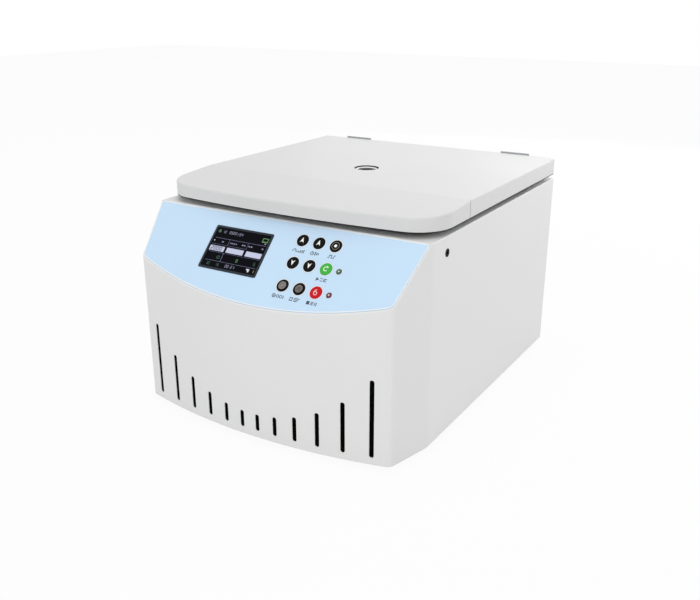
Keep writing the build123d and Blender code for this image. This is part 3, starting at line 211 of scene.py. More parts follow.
class Effects:
    """The node groups that more than one finish uses, each built once."""

    def __init__(self) -> None:
        """Starts with no group built."""
        self.built: dict[str, Tree] = {}
        self.builders = {
            "soft_edges": self.soft_edges, "settled_dust": self.settled_dust,
            Grain.MOULDED.value: self.moulded_grain, Grain.BRUSHED.value: self.brushed_lines,
            Grain.TURNED.value: self.turned_lines,
        }

    def get(self, name: str) -> Tree:
        """Returns a group, building it the first time it is asked for."""
        if name not in self.built:
            self.builders[name]()
        return self.built[name]

    def group(self, name: str, inputs: dict[str, float], outputs: tuple[str, ...]) -> tuple[Tree, Node, Node]:
        """Makes an empty node group with its sockets.

        Args:
            name: the group's name.
            inputs: each input's name and its default value.
            outputs: the outputs' names.

        Returns:
            The tree, its input node and its output node.
        """
        tree = bpy.data.node_groups.new(name, "ShaderNodeTree")
        for socket, default in inputs.items():
            made = tree.interface.new_socket(socket, in_out="INPUT", socket_type="NodeSocketFloat")
            made.default_value = default
        for socket in outputs:
            kind = "NodeSocketVector" if socket == "Normal" else "NodeSocketFloat"
            tree.interface.new_socket(socket, in_out="OUTPUT", socket_type=kind)
        self.built[name] = tree
        return tree, tree.nodes.new("NodeGroupInput"), tree.nodes.new("NodeGroupOutput")

    def grain(self, name: str, detail: float, roughness: float) -> tuple[Tree, Node, Node]:
        """Makes the group of a grain: a fine height and a slow drift of tone.

        Args:
            name: the group's name.
            detail: the detail of the fine noise.
            roughness: its roughness.

        Returns:
            The tree, its coordinates, and the fine noise, which still lacks its own.
        """
        tree, given, result = self.group(name, {"Scale": 900.0, "Drift": 9.0}, ("Height", "Tone"))
        place = add_node(tree, "TexCoord")
        fine = add_node(tree, "TexNoise", {"Detail": detail, "Roughness": roughness})
        slow = add_node(tree, "TexNoise", {"Detail": 2.0, "Roughness": 0.5})
        wire(
            tree,
            (given, "Scale", fine, "Scale"), (given, "Drift", slow, "Scale"),
            (place, "Object", slow, "Vector"), (fine, "Fac", result, "Height"), (slow, "Fac", result, "Tone"),
        )
        return tree, place, fine

    def moulded_grain(self) -> None:
        """Fine orange peel, as on sprayed or moulded covers."""
        tree, place, fine = self.grain(Grain.MOULDED.value, 3.0, 0.55)
        wire(tree, (place, "Object", fine, "Vector"))

    def brushed_lines(self) -> None:
        """Long fine scratches along one axis, as on brushed sheet."""
        tree, place, fine = self.grain(Grain.BRUSHED.value, 4.0, 0.7)
        stretch = add_node(tree, "Mapping", {"Scale": (0.03, 1.0, 1.0)})
        wire(tree, (place, "Object", stretch, "Vector"), (stretch, "Vector", fine, "Vector"))

    def turned_lines(self) -> None:
        """Fine rings about the rotor's axis, as a lathe or a spinning press leaves them."""
        tree, place, fine = self.grain(Grain.TURNED.value, 3.0, 0.7)
        split, flat, rings = (add_node(tree, kind) for kind in ("SeparateXYZ", "CombineXYZ", "CombineXYZ"))
        centre = add_node(tree, "Math", {1: joint("rotor_spin")["pos_m"][1]}, operation="SUBTRACT")
        reach = add_node(tree, "VectorMath", operation="LENGTH")
        wire(
            tree,
            (place, "Object", split, 0), (split, "Y", centre, 0), (split, "X", flat, "X"),
            (centre, 0, flat, "Y"), (flat, 0, reach, 0), (reach, "Value", rings, "X"),
            (split, "Z", rings, "Z"), (rings, 0, fine, "Vector"),
        )

    def soft_edges(self) -> None:
        """Rounds sharp edges in the shading and puts out a mask of where they are."""
        tree, given, result = self.group("soft_edges", {"Radius": 0.0006, "Width": 6.0}, ("Mask", "Normal"))
        bevel, geometry = add_node(tree, "Bevel", samples=4), add_node(tree, "NewGeometry")
        dot = add_node(tree, "VectorMath", operation="DOT_PRODUCT")
        turn = add_node(tree, "Math", {0: 1.0}, operation="SUBTRACT")
        spread = add_node(tree, "Math", operation="MULTIPLY", use_clamp=True)
        wire(
            tree,
            (given, "Radius", bevel, "Radius"), (bevel, "Normal", dot, 0), (geometry, "Normal", dot, 1),
            (dot, "Value", turn, 1), (turn, 0, spread, 0), (given, "Width", spread, 1),
            (spread, 0, result, "Mask"), (bevel, "Normal", result, "Normal"),
        )

    def settled_dust(self) -> None:
        """A mask of the thin dust that lies on faces turned upwards."""
        tree, given, result = self.group("settled_dust", {"Amount": 0.1, "Scale": 260.0}, ("Mask",))
        place, geometry, split = (add_node(tree, kind) for kind in ("TexCoord", "NewGeometry", "SeparateXYZ"))
        speck = add_node(tree, "TexNoise", {"Detail": 5.0, "Roughness": 0.75})
        upward = add_node(tree, "Math", {1: 3.0}, operation="POWER", use_clamp=True)
        thin = add_node(tree, "Math", operation="MULTIPLY")
        share = add_node(tree, "Math", operation="MULTIPLY", use_clamp=True)
        wire(
            tree,
            (place, "Object", speck, "Vector"), (given, "Scale", speck, "Scale"),
            (geometry, "Normal", split, 0), (split, "Z", upward, 0), (speck, "Fac", thin, 0),
            (upward, 0, thin, 1), (thin, 0, share, 0), (given, "Amount", share, 1),
            (share, 0, result, "Mask"),
        )


EFFECTS = Effects()
MATERIALS: dict[str, bpy.types.Material] = {}


# --- Finishes ---
@dataclass(frozen=True)
class Surface:
    """What every finish has: a name, the slot that it goes by, a colour and a roughness."""

    name: str
    slot: str
    colour: str
    roughness: float

    def material(self) -> bpy.types.Material:
        """Returns this finish's material, building it the first time it is asked for."""
        if self.name not in MATERIALS:
            made = MATERIALS[self.name] = bpy.data.materials.new(self.name)
            made.use_nodes = True
            self.build(made.node_tree, made.node_tree.nodes["Principled BSDF"])
        return MATERIALS[self.name]

    def build(self, tree: Tree, shader: Node) -> None:
        """Adds the nodes that lead to the shader; each kind of finish has its own."""
        raise NotImplementedError


@dataclass(frozen=True)
class Finish(Surface):
    """An opaque surface, with its grain, its soft edges and its dust."""

    grain: Grain = Grain.MOULDED
    scale: float = 900.0
    depth: float = 0.05
    drift: float = 9.0
    tone: float = 0.03
    gloss_drift: float = 0.06
    metallic: float = 0.0
    specular: float = 0.5
    coat: float = 0.0
    edge: float = 0.0005
    edge_light: float = 0.08
    dust: float = 0.04
    glow: float = 0.0

    def build(self, tree: Tree, shader: Node) -> None:
        """Adds the nodes that lead to the shader.

        Args:
            tree: the material's node tree.
            shader: its Principled BSDF.
        """
        filled(shader, {
            "Metallic": self.metallic, "Specular IOR Level": self.specular,
            "Coat Weight": self.coat, "Coat Roughness": COAT_ROUGHNESS,
        })
        base = linear(self.colour)
        grain = effect(tree, self.grain.value, {"Scale": self.scale, "Drift": self.drift})
        edges = effect(tree, "soft_edges", {"Radius": self.edge})
        dust = effect(tree, "settled_dust", {"Amount": self.dust})
        toned = mix_colour(tree, shade(base, 1 + self.tone), shade(base, 1 - self.tone))
        light = add_node(tree, "Math", {1: 4 * self.edge_light}, operation="MULTIPLY", use_clamp=True)
        # Lighter colour on sharp edges, by the edge mask.
        edge_lightened = mix_colour(tree, shade(base, 1 + 2 * self.edge_light))
        dusty = mix_colour(tree, linear(DUST_COLOUR))
        low, high = max(self.roughness - self.gloss_drift, 0.02), min(self.roughness + self.gloss_drift, 1.0)
        gloss = add_node(tree, "MapRange", {"To Min": low, "To Max": high})
        bump = add_node(tree, "Bump", {"Strength": self.depth, "Distance": BUMP_HEIGHT})
        wire(
            tree,
            (grain, "Tone", toned, FACTOR), (edges, "Mask", light, 0), (light, 0, edge_lightened, FACTOR),
            (toned, MIXED, edge_lightened, COLOUR_A), (dust, "Mask", dusty, FACTOR), (edge_lightened, MIXED, dusty, COLOUR_A),
            (dusty, MIXED, shader, "Base Color"),
            (grain, "Tone", gloss, "Value"), (gloss, "Result", shader, "Roughness"),
            (grain, "Height", bump, "Height"), (edges, "Normal", bump, "Normal"),
            (bump, "Normal", shader, "Normal"),
        )
        if self.glow:
            wire(tree, (toned, MIXED, shader, "Emission Color"))
            filled(shader, {"Emission Strength": self.glow})


@dataclass(frozen=True)
class CleanFinish(Finish):
    """A surface that holds no dust."""

    dust: float = 0.0


@dataclass(frozen=True)
class CapFinish(CleanFinish):
    """A key's close-grained face, or the print on it."""

    scale: float = 2600


@dataclass(frozen=True)
class Ink(CleanFinish):
    """An even colour that the display shows."""

    roughness: float = 0.4
    depth: float = 0.0


@dataclass(frozen=True)
class Metal(Finish):
    """Bare metal, with the lines that its working left."""

    grain: Grain = Grain.BRUSHED
    depth: float = 0.12
    drift: float = 12
    tone: float = 0.05
    gloss_drift: float = 0.08
    metallic: float = 1.0
    edge_light: float = 0.03


@dataclass(frozen=True)
class Glass(Surface):
    """A clear surface with faint smears in its gloss."""

    ior: float = 1.5

    def build(self, tree: Tree, shader: Node) -> None:
        """Adds the nodes that lead to the shader.

        Args:
            tree: the material's node tree.
            shader: its Principled BSDF.
        """
        filled(shader, {"Transmission Weight": 1.0, "IOR": self.ior})
        grain = effect(tree, Grain.MOULDED.value, {"Scale": 300.0, "Drift": 40.0})
        base = linear(self.colour)
        toned = mix_colour(tree, base, shade(base, 0.97))
        smear = add_node(tree, "MapRange", {"To Min": self.roughness * 0.5, "To Max": self.roughness * 2})
        wire(
            tree,
            (grain, "Tone", toned, FACTOR), (toned, MIXED, shader, "Base Color"),
            (grain, "Tone", smear, "Value"), (smear, "Result", shader, "Roughness"),
        )


SHELL = Finish("shell_white", "body_white", "e4e4e2", 0.42, depth=0.06, tone=0.012)
LID = Finish("lid_white", "lid_white", "d9d9d7", 0.44, depth=0.06, tone=0.012, specular=0.4)
PORT = Finish("port_white", "port_white", "ececea", 0.36, scale=1500, depth=0.04, tone=0.012)
PORT_SMOKED = CleanFinish(
    "port_smoked", "port_smoked", "030304", 0.2, scale=400, depth=0.0, tone=0.1, specular=0.03
)
FILM = Finish("overlay_film", "overlay_blue", "c6e0f6", 0.4, scale=2400, depth=0.04, tone=0.02, dust=0.01)
# Pale colour for the rings round keys and lamps, and for the strip along the film's edge, which is a painted
# highlight.
PALE_RINGS_AND_RIM_HIGHLIGHT = CleanFinish("overlay_pale_rings_and_rim_highlight", "overlay_blue", "f3f6f8", 0.4, scale=2400, depth=0.02, tone=0.01)
PRINT = CleanFinish("printed_marks", "overlay_blue", "3e4a56", 0.45, scale=2400, depth=0.03, tone=0.05)
BEZEL = CleanFinish("bezel_grey", "bezel_grey", "2a3038", 0.4, tone=0.05, specular=0.2)
SCREEN = CleanFinish(
    "screen_black", "screen_glass", "03040b", 0.15, scale=300, depth=0.0, tone=0.1, specular=0.05
)
KEY_BLACK = CapFinish("key_black", "key_black", "08090b", 0.45, tone=0.08, specular=0.08)
KEY_GREEN = CapFinish("key_green", "key_green", "43b247", 0.4, tone=0.05, specular=0.15)
KEY_RED = CapFinish("key_red", "key_red", "c90f1b", 0.4, tone=0.05, specular=0.15)
KEY_TAUPE = CapFinish("key_taupe", "key_black", "8f8781", 0.4, tone=0.06, coat=0.2)
KEY_UMBER = CapFinish("key_umber", "key_black", "6c6460", 0.4, tone=0.06, coat=0.2)
ICON_WHITE = CapFinish("icon_white", "key_black", "fbfaf6", 0.4, depth=0.02, tone=0.01)
ICON_DARK = CapFinish("icon_dark", "key_black", "3c3836", 0.42, depth=0.02, tone=0.04)
ICON_SAND = CapFinish("icon_sand", "key_black", "a0988a", 0.42, depth=0.02, tone=0.03)
ICON_LIME = CapFinish("icon_lime", "key_green", "e3f7cf", 0.4, depth=0.02, tone=0.01)
ICON_PINK = CapFinish("icon_pink", "key_red", "f6cfc9", 0.4, depth=0.02, tone=0.01)
LAMP_GREEN = CleanFinish("lamp_green", "lamp_green", "1c5233", 0.12, scale=200, depth=0.0, coat=0.4)
LAMP_RED = CleanFinish("lamp_red", "lamp_red", "5c1526", 0.12, scale=200, depth=0.0, coat=0.4)
# Pale discs on the lamps: a painted highlight for the glint on each dome.
GLINT_GREEN = CleanFinish("lamp_core_green", "lamp_green", "d4e6d9", 0.2, scale=200, depth=0.0)
GLINT_RED = CleanFinish("lamp_core_red", "lamp_red", "e8d2d6", 0.2, scale=200, depth=0.0)
BOARD = Finish("board_green", "board_green", "1e5b3c", 0.5, scale=1200, depth=0.1, tone=0.12)
STAINLESS = Metal("stainless_spun", "stainless", "c9c9c8", 0.27, Grain.TURNED, 800, 0.16, 16)
LINER = Metal("liner_brushed", "stainless", "c6c7c7", 0.3)
HINGE = Metal(
    "hinge_zinc", "stainless", "a6a8aa", 0.45,
    scale=1200, drift=30, tone=0.08, gloss_drift=0.1, metallic=0.6, edge_light=0.06,
)
SHEET_STEEL = Metal("sheet_steel", "plain_steel", "b4b6b8", 0.36, scale=700, tone=0.06, gloss_drift=0.1)
BRIGHT_STEEL = Metal("bright_steel", "bright_steel", "d2d3d4", 0.2, Grain.MOULDED, 1500, 0.05, 30)
MACHINED = Metal(
    "machined_aluminium", "machined_aluminium", "c4c6c9", 0.3, Grain.TURNED, 1100, 0.16, 22, 0.04,
    edge_light=0.04,
)
CLIP_STEEL = Metal("clip_steel", "carrier_mix", "c6c8ca", 0.28, scale=1400, depth=0.1, drift=30, dust=0.0)
MOTOR = Finish("motor_grey", "motor_grey", "70767b", 0.5, scale=1300, depth=0.2, tone=0.08, metallic=0.2)
RUBBER = Finish("black_rubber", "gasket_rubber", "1d1e1f", 0.68, scale=1800, depth=0.25, tone=0.12, dust=0.08)
# Near-black for the port's dark rings, and painted shade: the strip under the lid's edge, the side seam lines
# and the screw sockets.
SEAL_AND_SHADE = CleanFinish(
    "black_seal_and_painted_shade", "gasket_rubber", "060607", 0.7, scale=1800, depth=0.05, tone=0.1, specular=0.05
)
# Near-black strips in the front vents: painted shade inside them.
VENT_SHADE = CleanFinish(
    "vent_painted_shade", "gasket_rubber", "060606", 0.95, scale=5200, depth=0.3, tone=0.3, specular=0.0
)
PLUG = Finish(
    "black_plug", "gasket_rubber", "08080a", 0.6, scale=1800, depth=0.1, tone=0.1, specular=0.15, dust=0.02
)
PLASTIC = Finish(
    "black_plastic", "black_plastic", "1a1b1d", 0.45, scale=1700, depth=0.15, tone=0.1, dust=0.05
)
DRAWER = CleanFinish("drawer_plastic", "bright_steel", "232427", 0.4, scale=1700, depth=0.12, tone=0.1)
CUP = CleanFinish("cup_plastic", "carrier_mix", "e9e6da", 0.4, scale=1500, depth=0.06, tone=0.03)
CAP = CleanFinish("cap_plastic", "carrier_mix", "3d74b4", 0.4, scale=1500, depth=0.06, tone=0.04)
CARD = CleanFinish("filter_card", "carrier_mix", "f1efe8", 0.9, scale=3000, depth=0.3, tone=0.03)
FROST = CleanFinish("frosted_glass", "carrier_mix", "dfe5e4", 0.7, scale=3000, depth=0.1, tone=0.02)
SLIDE_GLASS = Glass("slide_glass", "carrier_mix", "eef5f2", 0.02)
INK_LILAC = Ink("screen_lilac", "screen_glass", "b2b6cc", glow=0.25)
INK_GREY = Ink("screen_grey", "screen_glass", "8d8ca6", glow=0.25)
INK_WHITE = Ink("screen_white", "screen_glass", "d4d4de", glow=0.2)
INK_GREEN = Ink("screen_green", "screen_glass", "4d7f45", glow=0.15)
INK_DIM = Ink("screen_dim_green", "screen_glass", "345a44", glow=0.1)
INK_LINE = Ink("screen_line", "screen_glass", "716f92", glow=0.2)
INK_DARK = Ink("screen_dark", "screen_glass", "20203a")
INK_YELLOW = Ink("screen_yellow", "screen_glass", "8c8048", glow=0.1)


# --- Closed parts and outlines, in millimetres ---
def rounded(part: Part, width: float) -> Part:
    """Rounds the sharp edges of a part.

    Args:
        part: the part.
        width: the width of the rounding; nothing is done at zero.

    Returns:
        The same part.
    """
    if width > 0:
        part.normal_update()
        least = math.radians(SHARP_TURN)
        sharp = [e for e in part.edges if len(e.link_faces) == 2 and e.calc_face_angle() > least]
        bmesh.ops.bevel(
            part, geom=sharp, offset=width, segments=2, affect="EDGES", profile=0.5, material=-1,
            clamp_overlap=True,
        )
    return part


def block(low: Spot, high: Spot, round_by: float = 0.0) -> Part:
    """Makes a box between two corners.

    Args:
        low: the lowest corner.
        high: the highest corner.
        round_by: the width of the rounding on every edge.

    Returns:
        The closed part.
    """
    part = bmesh.new()
    bmesh.ops.create_cube(part, size=1.0)
    size, middle = Vector(high) - Vector(low), (Vector(high) + Vector(low)) / 2
    bmesh.ops.transform(part, matrix=moved(*middle) @ Matrix.Diagonal((*size, 1)), verts=part.verts)
    return rounded(part, round_by)


def thicken(part: Part, faces: list, rise: Spot) -> None:
    """Gives flat faces a thickness.

    Args:
        part: the part that holds them.
        faces: the faces.
        rise: how far they are drawn out, and which way.
    """
    lifted = bmesh.ops.extrude_face_region(part, geom=faces)["geom"]
    bmesh.ops.translate(part, vec=rise, verts=[v for v in lifted if isinstance(v, bmesh.types.BMVert)])
    bmesh.ops.recalc_face_normals(part, faces=part.faces)


def plate(outline: Outline, low: float, high: float, round_by: float = 0.0) -> Part:
    """Makes a flat plate from its outline.

    Args:
        outline: the corners, in order.
        low: the height of the lower face.
        high: the height of the upper face.
        round_by: the width of the rounding on every sharp edge.

    Returns:
        The closed part.
    """
    part = bmesh.new()
    face = part.faces.new([part.verts.new((x, y, low)) for x, y in outline])
    thicken(part, [face], (0, 0, high - low))
    return rounded(part, round_by)


def strip(outline: Outline, width: float, low: float, high: float, round_by: float = 0.0) -> Part:
    """Makes a flat strip that follows an outline on its inside.

    Args:
        outline: the corners, in order.
        width: the strip's width.
        low: the height of its lower face.
        high: the height of its upper face.
        round_by: the width of the rounding on every sharp edge.

    Returns:
        The closed part.
    """
    part = bmesh.new()
    face = part.faces.new([part.verts.new((x, y, low)) for x, y in outline])
    face.normal_update()
    ring = bmesh.ops.inset_region(
        part, faces=[face], thickness=width, use_boundary=True, use_even_offset=True
    )
    bmesh.ops.delete(part, geom=[face], context="FACES")
    thicken(part, ring["faces"], (0, 0, high - low))
    return rounded(part, round_by)


def lathe(profile: Outline, steps: int = 48, ring: bool = False) -> Part:
    """Turns a profile of radius and height about the Z axis.

    Args:
        profile: the corners of the profile, in order.
        steps: the number of steps in the full turn.
        ring: closes the profile, as a ring needs; otherwise both ends lie on the axis.

    Returns:
        The closed part.
    """
    part = bmesh.new()
    corners = [part.verts.new((radius, 0, height)) for radius, height in profile]
    pairs = list(zip(corners, corners[1:]))
    if ring:
        pairs.append((corners[-1], corners[0]))
    edges = [part.edges.new(pair) for pair in pairs]
    bmesh.ops.spin(
        part, geom=corners + edges, cent=(0, 0, 0), axis=(0, 0, 1), angle=math.tau, steps=steps,
        use_merge=True,
    )
    bmesh.ops.remove_doubles(part, verts=part.verts, dist=MERGE_PART)
    bmesh.ops.recalc_face_normals(part, faces=part.faces)
    return part


def hoop(inner: float, outer: float, low: float, high: float, steps: int = 48) -> Part:
    """Makes a flat ring about the Z axis."""
    return lathe([(inner, low), (outer, low), (outer, high), (inner, high)], steps, ring=True)


def disc(radius: float, low: float, high: float, chamfer: float = 0.0, steps: int = 48) -> Part:
    """Makes a round plate about the Z axis, with a chamfer round its upper edge."""
    rim = [(radius, low), (radius, high - chamfer), (radius - chamfer, high)]
    return lathe([(0, low), *rim, (0, high)], steps)


def band(
    radius: float, width: float, start: float, end: float, steps: int = 20,
    centre: tuple[float, float] = (0, 0),
) -> Outline:
    """Gives the outline of a stroke along an arc.

    Args:
        radius: the radius of the stroke's middle.
        width: the stroke's width.
        start: the angle at one end, in degrees.
        end: the angle at the other end, in degrees.
        steps: the number of steps along the arc.
        centre: the arc's centre.

    Returns:
        The outline's corners.
    """
    angles = [math.radians(start + (end - start) * i / steps) for i in range(steps + 1)]
    outer = [(radius + width / 2, a) for a in angles]
    inner = [(radius - width / 2, a) for a in reversed(angles)]
    return [(centre[0] + r * math.cos(a), centre[1] + r * math.sin(a)) for r, a in outer + inner]


def bar(x: float, y: float, width: float, height: float) -> Outline:
    """Gives the outline of an upright rectangle about its middle."""
    right, top = width / 2, height / 2
    return [(x - right, y - top), (x + right, y - top), (x + right, y + top), (x - right, y + top)]


def face_outline(node: str, seat: Matrix) -> Outline:
    """Traces the outer edge of a CAD node's face.

    Args:
        node: the node's name.
        seat: a frame in whose XY plane the face lies, facing its Z.

    Returns:
        The corners in order, in the frame's X and Y.
    """
    part = bmesh.new()
    part.from_mesh(frame["nodes"][node].data)
    bmesh.ops.transform(part, matrix=seat.inverted() @ Matrix.Scale(1 / MM, 4), verts=part.verts)
    bmesh.ops.remove_doubles(part, verts=part.verts, dist=MERGE_CAD)
    part.normal_update()
    flat = {f for f in part.faces if f.normal.z > LEVEL and abs(f.calc_center_median().z) < LEVEL_REACH}
    rim = {e for f in flat for e in f.edges if sum(other in flat for other in e.link_faces) == 1}
    loops = []
    while rim:
        edge = rim.pop()
        corners = [edge.verts[0], edge.verts[1]]
        while following := next((e for e in corners[-1].link_edges if e in rim), None):
            rim.discard(following)
            corners.append(following.other_vert(corners[-1]))
        loops.append([(v.co.x, v.co.y) for v in corners[:-1]])
    part.free()
    return max(loops, key=lambda loop: max(x for x, _ in loop) - min(x for x, _ in loop))


@dataclass
class Piece:
    """One visual piece: closed parts with a finish each, on one body, in the frame of its seat."""

    name: str
    body: str
    slot: str
    seat: Matrix = field(default_factory=lambda: Matrix.Identity(4))
    finishes: list[Surface] = field(default_factory=list)
    mesh: Part = field(default_factory=bmesh.new)

    def add(self, part: Part, finish: Surface, place: Matrix | None = None) -> None:
        """Adds a part.

        Args:
            part: the part, in millimetres; it is used up.
            finish: the part's finish.
            place: where it goes in the frame of the piece's seat.
        """
        if finish not in self.finishes:
            self.finishes.append(finish)
        index = self.finishes.index(finish)
        for face in part.faces:
            face.material_index = index
            face.smooth = True
        if place is not None:
            bmesh.ops.transform(part, matrix=place, verts=part.verts)
        holder = bpy.data.meshes.new("holder")
        part.to_mesh(holder)
        part.free()
        self.mesh.from_mesh(holder)
        bpy.data.meshes.remove(holder)

    def make(self, *stands_for: str) -> None:
        """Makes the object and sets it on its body.

        Args:
            stands_for: the CAD nodes that it is shown instead of.
        """
        bmesh.ops.transform(self.mesh, matrix=Matrix.Scale(MM, 4) @ self.seat, verts=self.mesh.verts)
        mesh = bpy.data.meshes.new(self.name)
        self.mesh.to_mesh(mesh)
        self.mesh.free()
        mesh.set_sharp_from_angle(angle=math.radians(SMOOTH_TURN))
        for finish in self.finishes:
            mesh.materials.append(finish.material())
        made = linked(self.name, mesh)
        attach(made, self.body)
        if stands_for:
            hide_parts(*stands_for)


def dress(finishes: dict[str, Surface]) -> int:
    """Gives CAD nodes their finishes.

    Args:
        finishes: the finish of each node, by the node's name.

    Returns:
        How many nodes were dressed.
    """
    for name, finish in finishes.items():
        node = frame["nodes"][name]
        node.data.materials.clear()
        node.data.materials.append(finish.material())
    return len(finishes)


# --- The control face ---
class Key(Enum):
    """The nine keys, by the end of their CAD names."""

    SPEED_UP = "speed_up"
    TIME_UP = "time_up"
    JOG = "jog"
    SPEED_DOWN = "speed_down"
    TIME_DOWN = "time_down"
    START = "start"
    ROTOR = "rotor"
    PROGRAM = "program"
    STOP = "stop"

    @property
    def node(self) -> str:
        """Returns the name of the key's CAD node, which is its body's as well."""
        return f"key_{self.value}"


@dataclass
class ControlFace:
    """The sloped face with its film, its keys and lamps, and the printed marks between them."""

    mark_height: float = 0.07
    sunk: float = 0.05
    rim_highlight_width: float = 1.2
    rim_highlight_height: float = 0.12
    key_ring: tuple[float, float] = (7.95, 8.9)
    lamp_ring: tuple[float, float] = (3.8, 4.4)
    painted_lamp_glint: float = 1.1
    tint_radius: float = 4.9
    row_drop: float = 14.0
    normal: Vector = field(init=False)
    rise: Vector = field(init=False)

    def __post_init__(self) -> None:
        """Takes the face's directions from the way in which its keys travel."""
        self.normal = -Vector(joint("key_start_press")["axis"]).normalized()
        self.rise = self.normal.cross(Vector((1, 0, 0))).normalized()

    def seat(self, node: str, level_of: str | None = None) -> Matrix:
        """Gives the frame of a node's outer face: X to the right, Y up the slope and Z outwards.

        Args:
            node: the CAD node at whose middle the frame lies.
            level_of: the CAD node whose outer face gives the height, if it is another one.

        Returns:
            The frame, in millimetres.
        """
        own = node_points(node)
        across = [v.x for v in own]
        along = [v.dot(self.rise) for v in own]
        level = max(v.dot(self.normal) for v in node_points(level_of or node))
        origin = Vector(((min(across) + max(across)) / 2, 0, 0))
        origin = origin + self.rise * (min(along) + max(along)) / 2 + self.normal * level
        return moved(*origin) @ facing(Vector((1, 0, 0)), self.rise, self.normal)

    def build(self) -> int:
        """Dresses the face and makes its marks.

        Returns:
            How many pieces it has.
        """
        coloured = {Key.START: KEY_GREEN, Key.STOP: KEY_RED}
        count = dress({key.node: coloured.get(key, KEY_BLACK) for key in Key})
        count += dress({
            "run_lamp": LAMP_GREEN, "stop_lamp": LAMP_RED, "panel_overlay": FILM,
            "display_bezel": BEZEL, "display_glass": SCREEN, "control_board": BOARD,
        })
        for key in Key:
            self.icon(key)
        # Each lamp gets a pale disc at its middle: a painted highlight for the glint on its dome.
        for lamp, glint in (("run_lamp", GLINT_GREEN), ("stop_lamp", GLINT_RED)):
            painted_glint = Piece(f"{lamp}_core", "base", glint.slot, self.seat(lamp))
            painted_glint.add(disc(self.painted_lamp_glint, -self.sunk, self.mark_height, self.sunk, 24), glint)
            painted_glint.make()
        self.print_marks()
        return count + len(Key) + 3

    def flat(self, piece: Piece, outline: Outline, finish: Finish, layer: int = 0) -> None:
        """Adds a thin printed shape to a piece, on a given layer of print."""
        piece.add(plate(outline, -self.sunk, self.mark_height * (layer + 1)), finish)

    def icon(self, key: Key) -> None:
        """Makes the pictogram on a key.

        Args:
            key: the key.
        """
        slot = {Key.START: "key_green", Key.STOP: "key_red"}.get(key, "key_black")
        piece = Piece(f"{key.node}_icon", key.node, slot, self.seat(key.node))
        low, top = -self.sunk, self.mark_height
        if key in (Key.SPEED_UP, Key.TIME_UP, Key.SPEED_DOWN, Key.TIME_DOWN):
            side = 1 if key in (Key.SPEED_UP, Key.TIME_UP) else -1
            arrow = [(0, 4.0 * side), (2.8, -3.5 * side), (0, -1.3 * side), (-2.8, -3.5 * side)]
            self.flat(piece, arrow, ICON_WHITE)
        elif key is Key.JOG:
            piece.add(hoop(4.5, 5.0, low, top), ICON_SAND)
            piece.add(disc(1.9, low, top), ICON_WHITE)
        elif key is Key.START:
            self.flat(piece, band(2.6, 1.2, 70, 325), ICON_LIME)
            self.flat(piece, [(0.5, 4.3), (3.4, 2.5), (0.7, 0.9)], ICON_LIME)
        elif key is Key.STOP:
            piece.add(hoop(1.6, 2.6, low, top), ICON_PINK, moved(0, -1.3, 0))
            self.flat(piece, band(5.2, 1.0, 112, 178, 12, (2.6, -1.3)), ICON_PINK)
        elif key is Key.ROTOR:
            piece.add(disc(self.tint_radius, low, top), KEY_TAUPE)
            piece.add(hoop(3.2, 3.7, low, 2 * top), ICON_DARK)
            for step in range(6):
                place = turned(60 * step, "Z") @ moved(1.9, 0, 0)
                piece.add(disc(0.6, low, 2 * top, steps=16), ICON_DARK, place)
        else:
            piece.add(disc(self.tint_radius, low, top), KEY_UMBER)
            for y in (1.7, 0.0, -1.7):
                for x, width in ((0.5, 4.0), (-2.5, 0.9)):
                    self.flat(piece, bar(x, y, width, 0.9), ICON_DARK, 1)
        piece.make()

    def print_marks(self) -> None:
        """Lays a painted highlight strip along the film's edge and pale rings round the keys and lamps, and
        prints a small row of pictograms below each group.
        """
        home = self.seat("panel_overlay")
        marks = Piece("panel_print", "base", "overlay_blue", home)
        low, top = -self.sunk, self.mark_height
        outline = face_outline("panel_overlay", home)
        # The pale strip along the film's outline is a painted highlight on the film's edge.
        marks.add(strip(outline, self.rim_highlight_width, low, self.rim_highlight_height), PALE_RINGS_AND_RIM_HIGHLIGHT)
        back = home.inverted()
        nodes = [key.node for key in Key] + ["run_lamp", "stop_lamp"]
        spots = {node: back @ self.seat(node, "panel_overlay") for node in nodes}
        for node, place in spots.items():
            ring, steps = (self.lamp_ring, 32) if node.endswith("lamp") else (self.key_ring, 48)
            marks.add(hoop(*ring, low, top, steps), PALE_RINGS_AND_RIM_HIGHLIGHT, place)
        for key, outlines in self.pictograms().items():
            for outline in outlines:
                marks.add(plate(outline, low, top), PRINT, spots[key.node] @ moved(0, -self.row_drop, 0))
        marks.make()

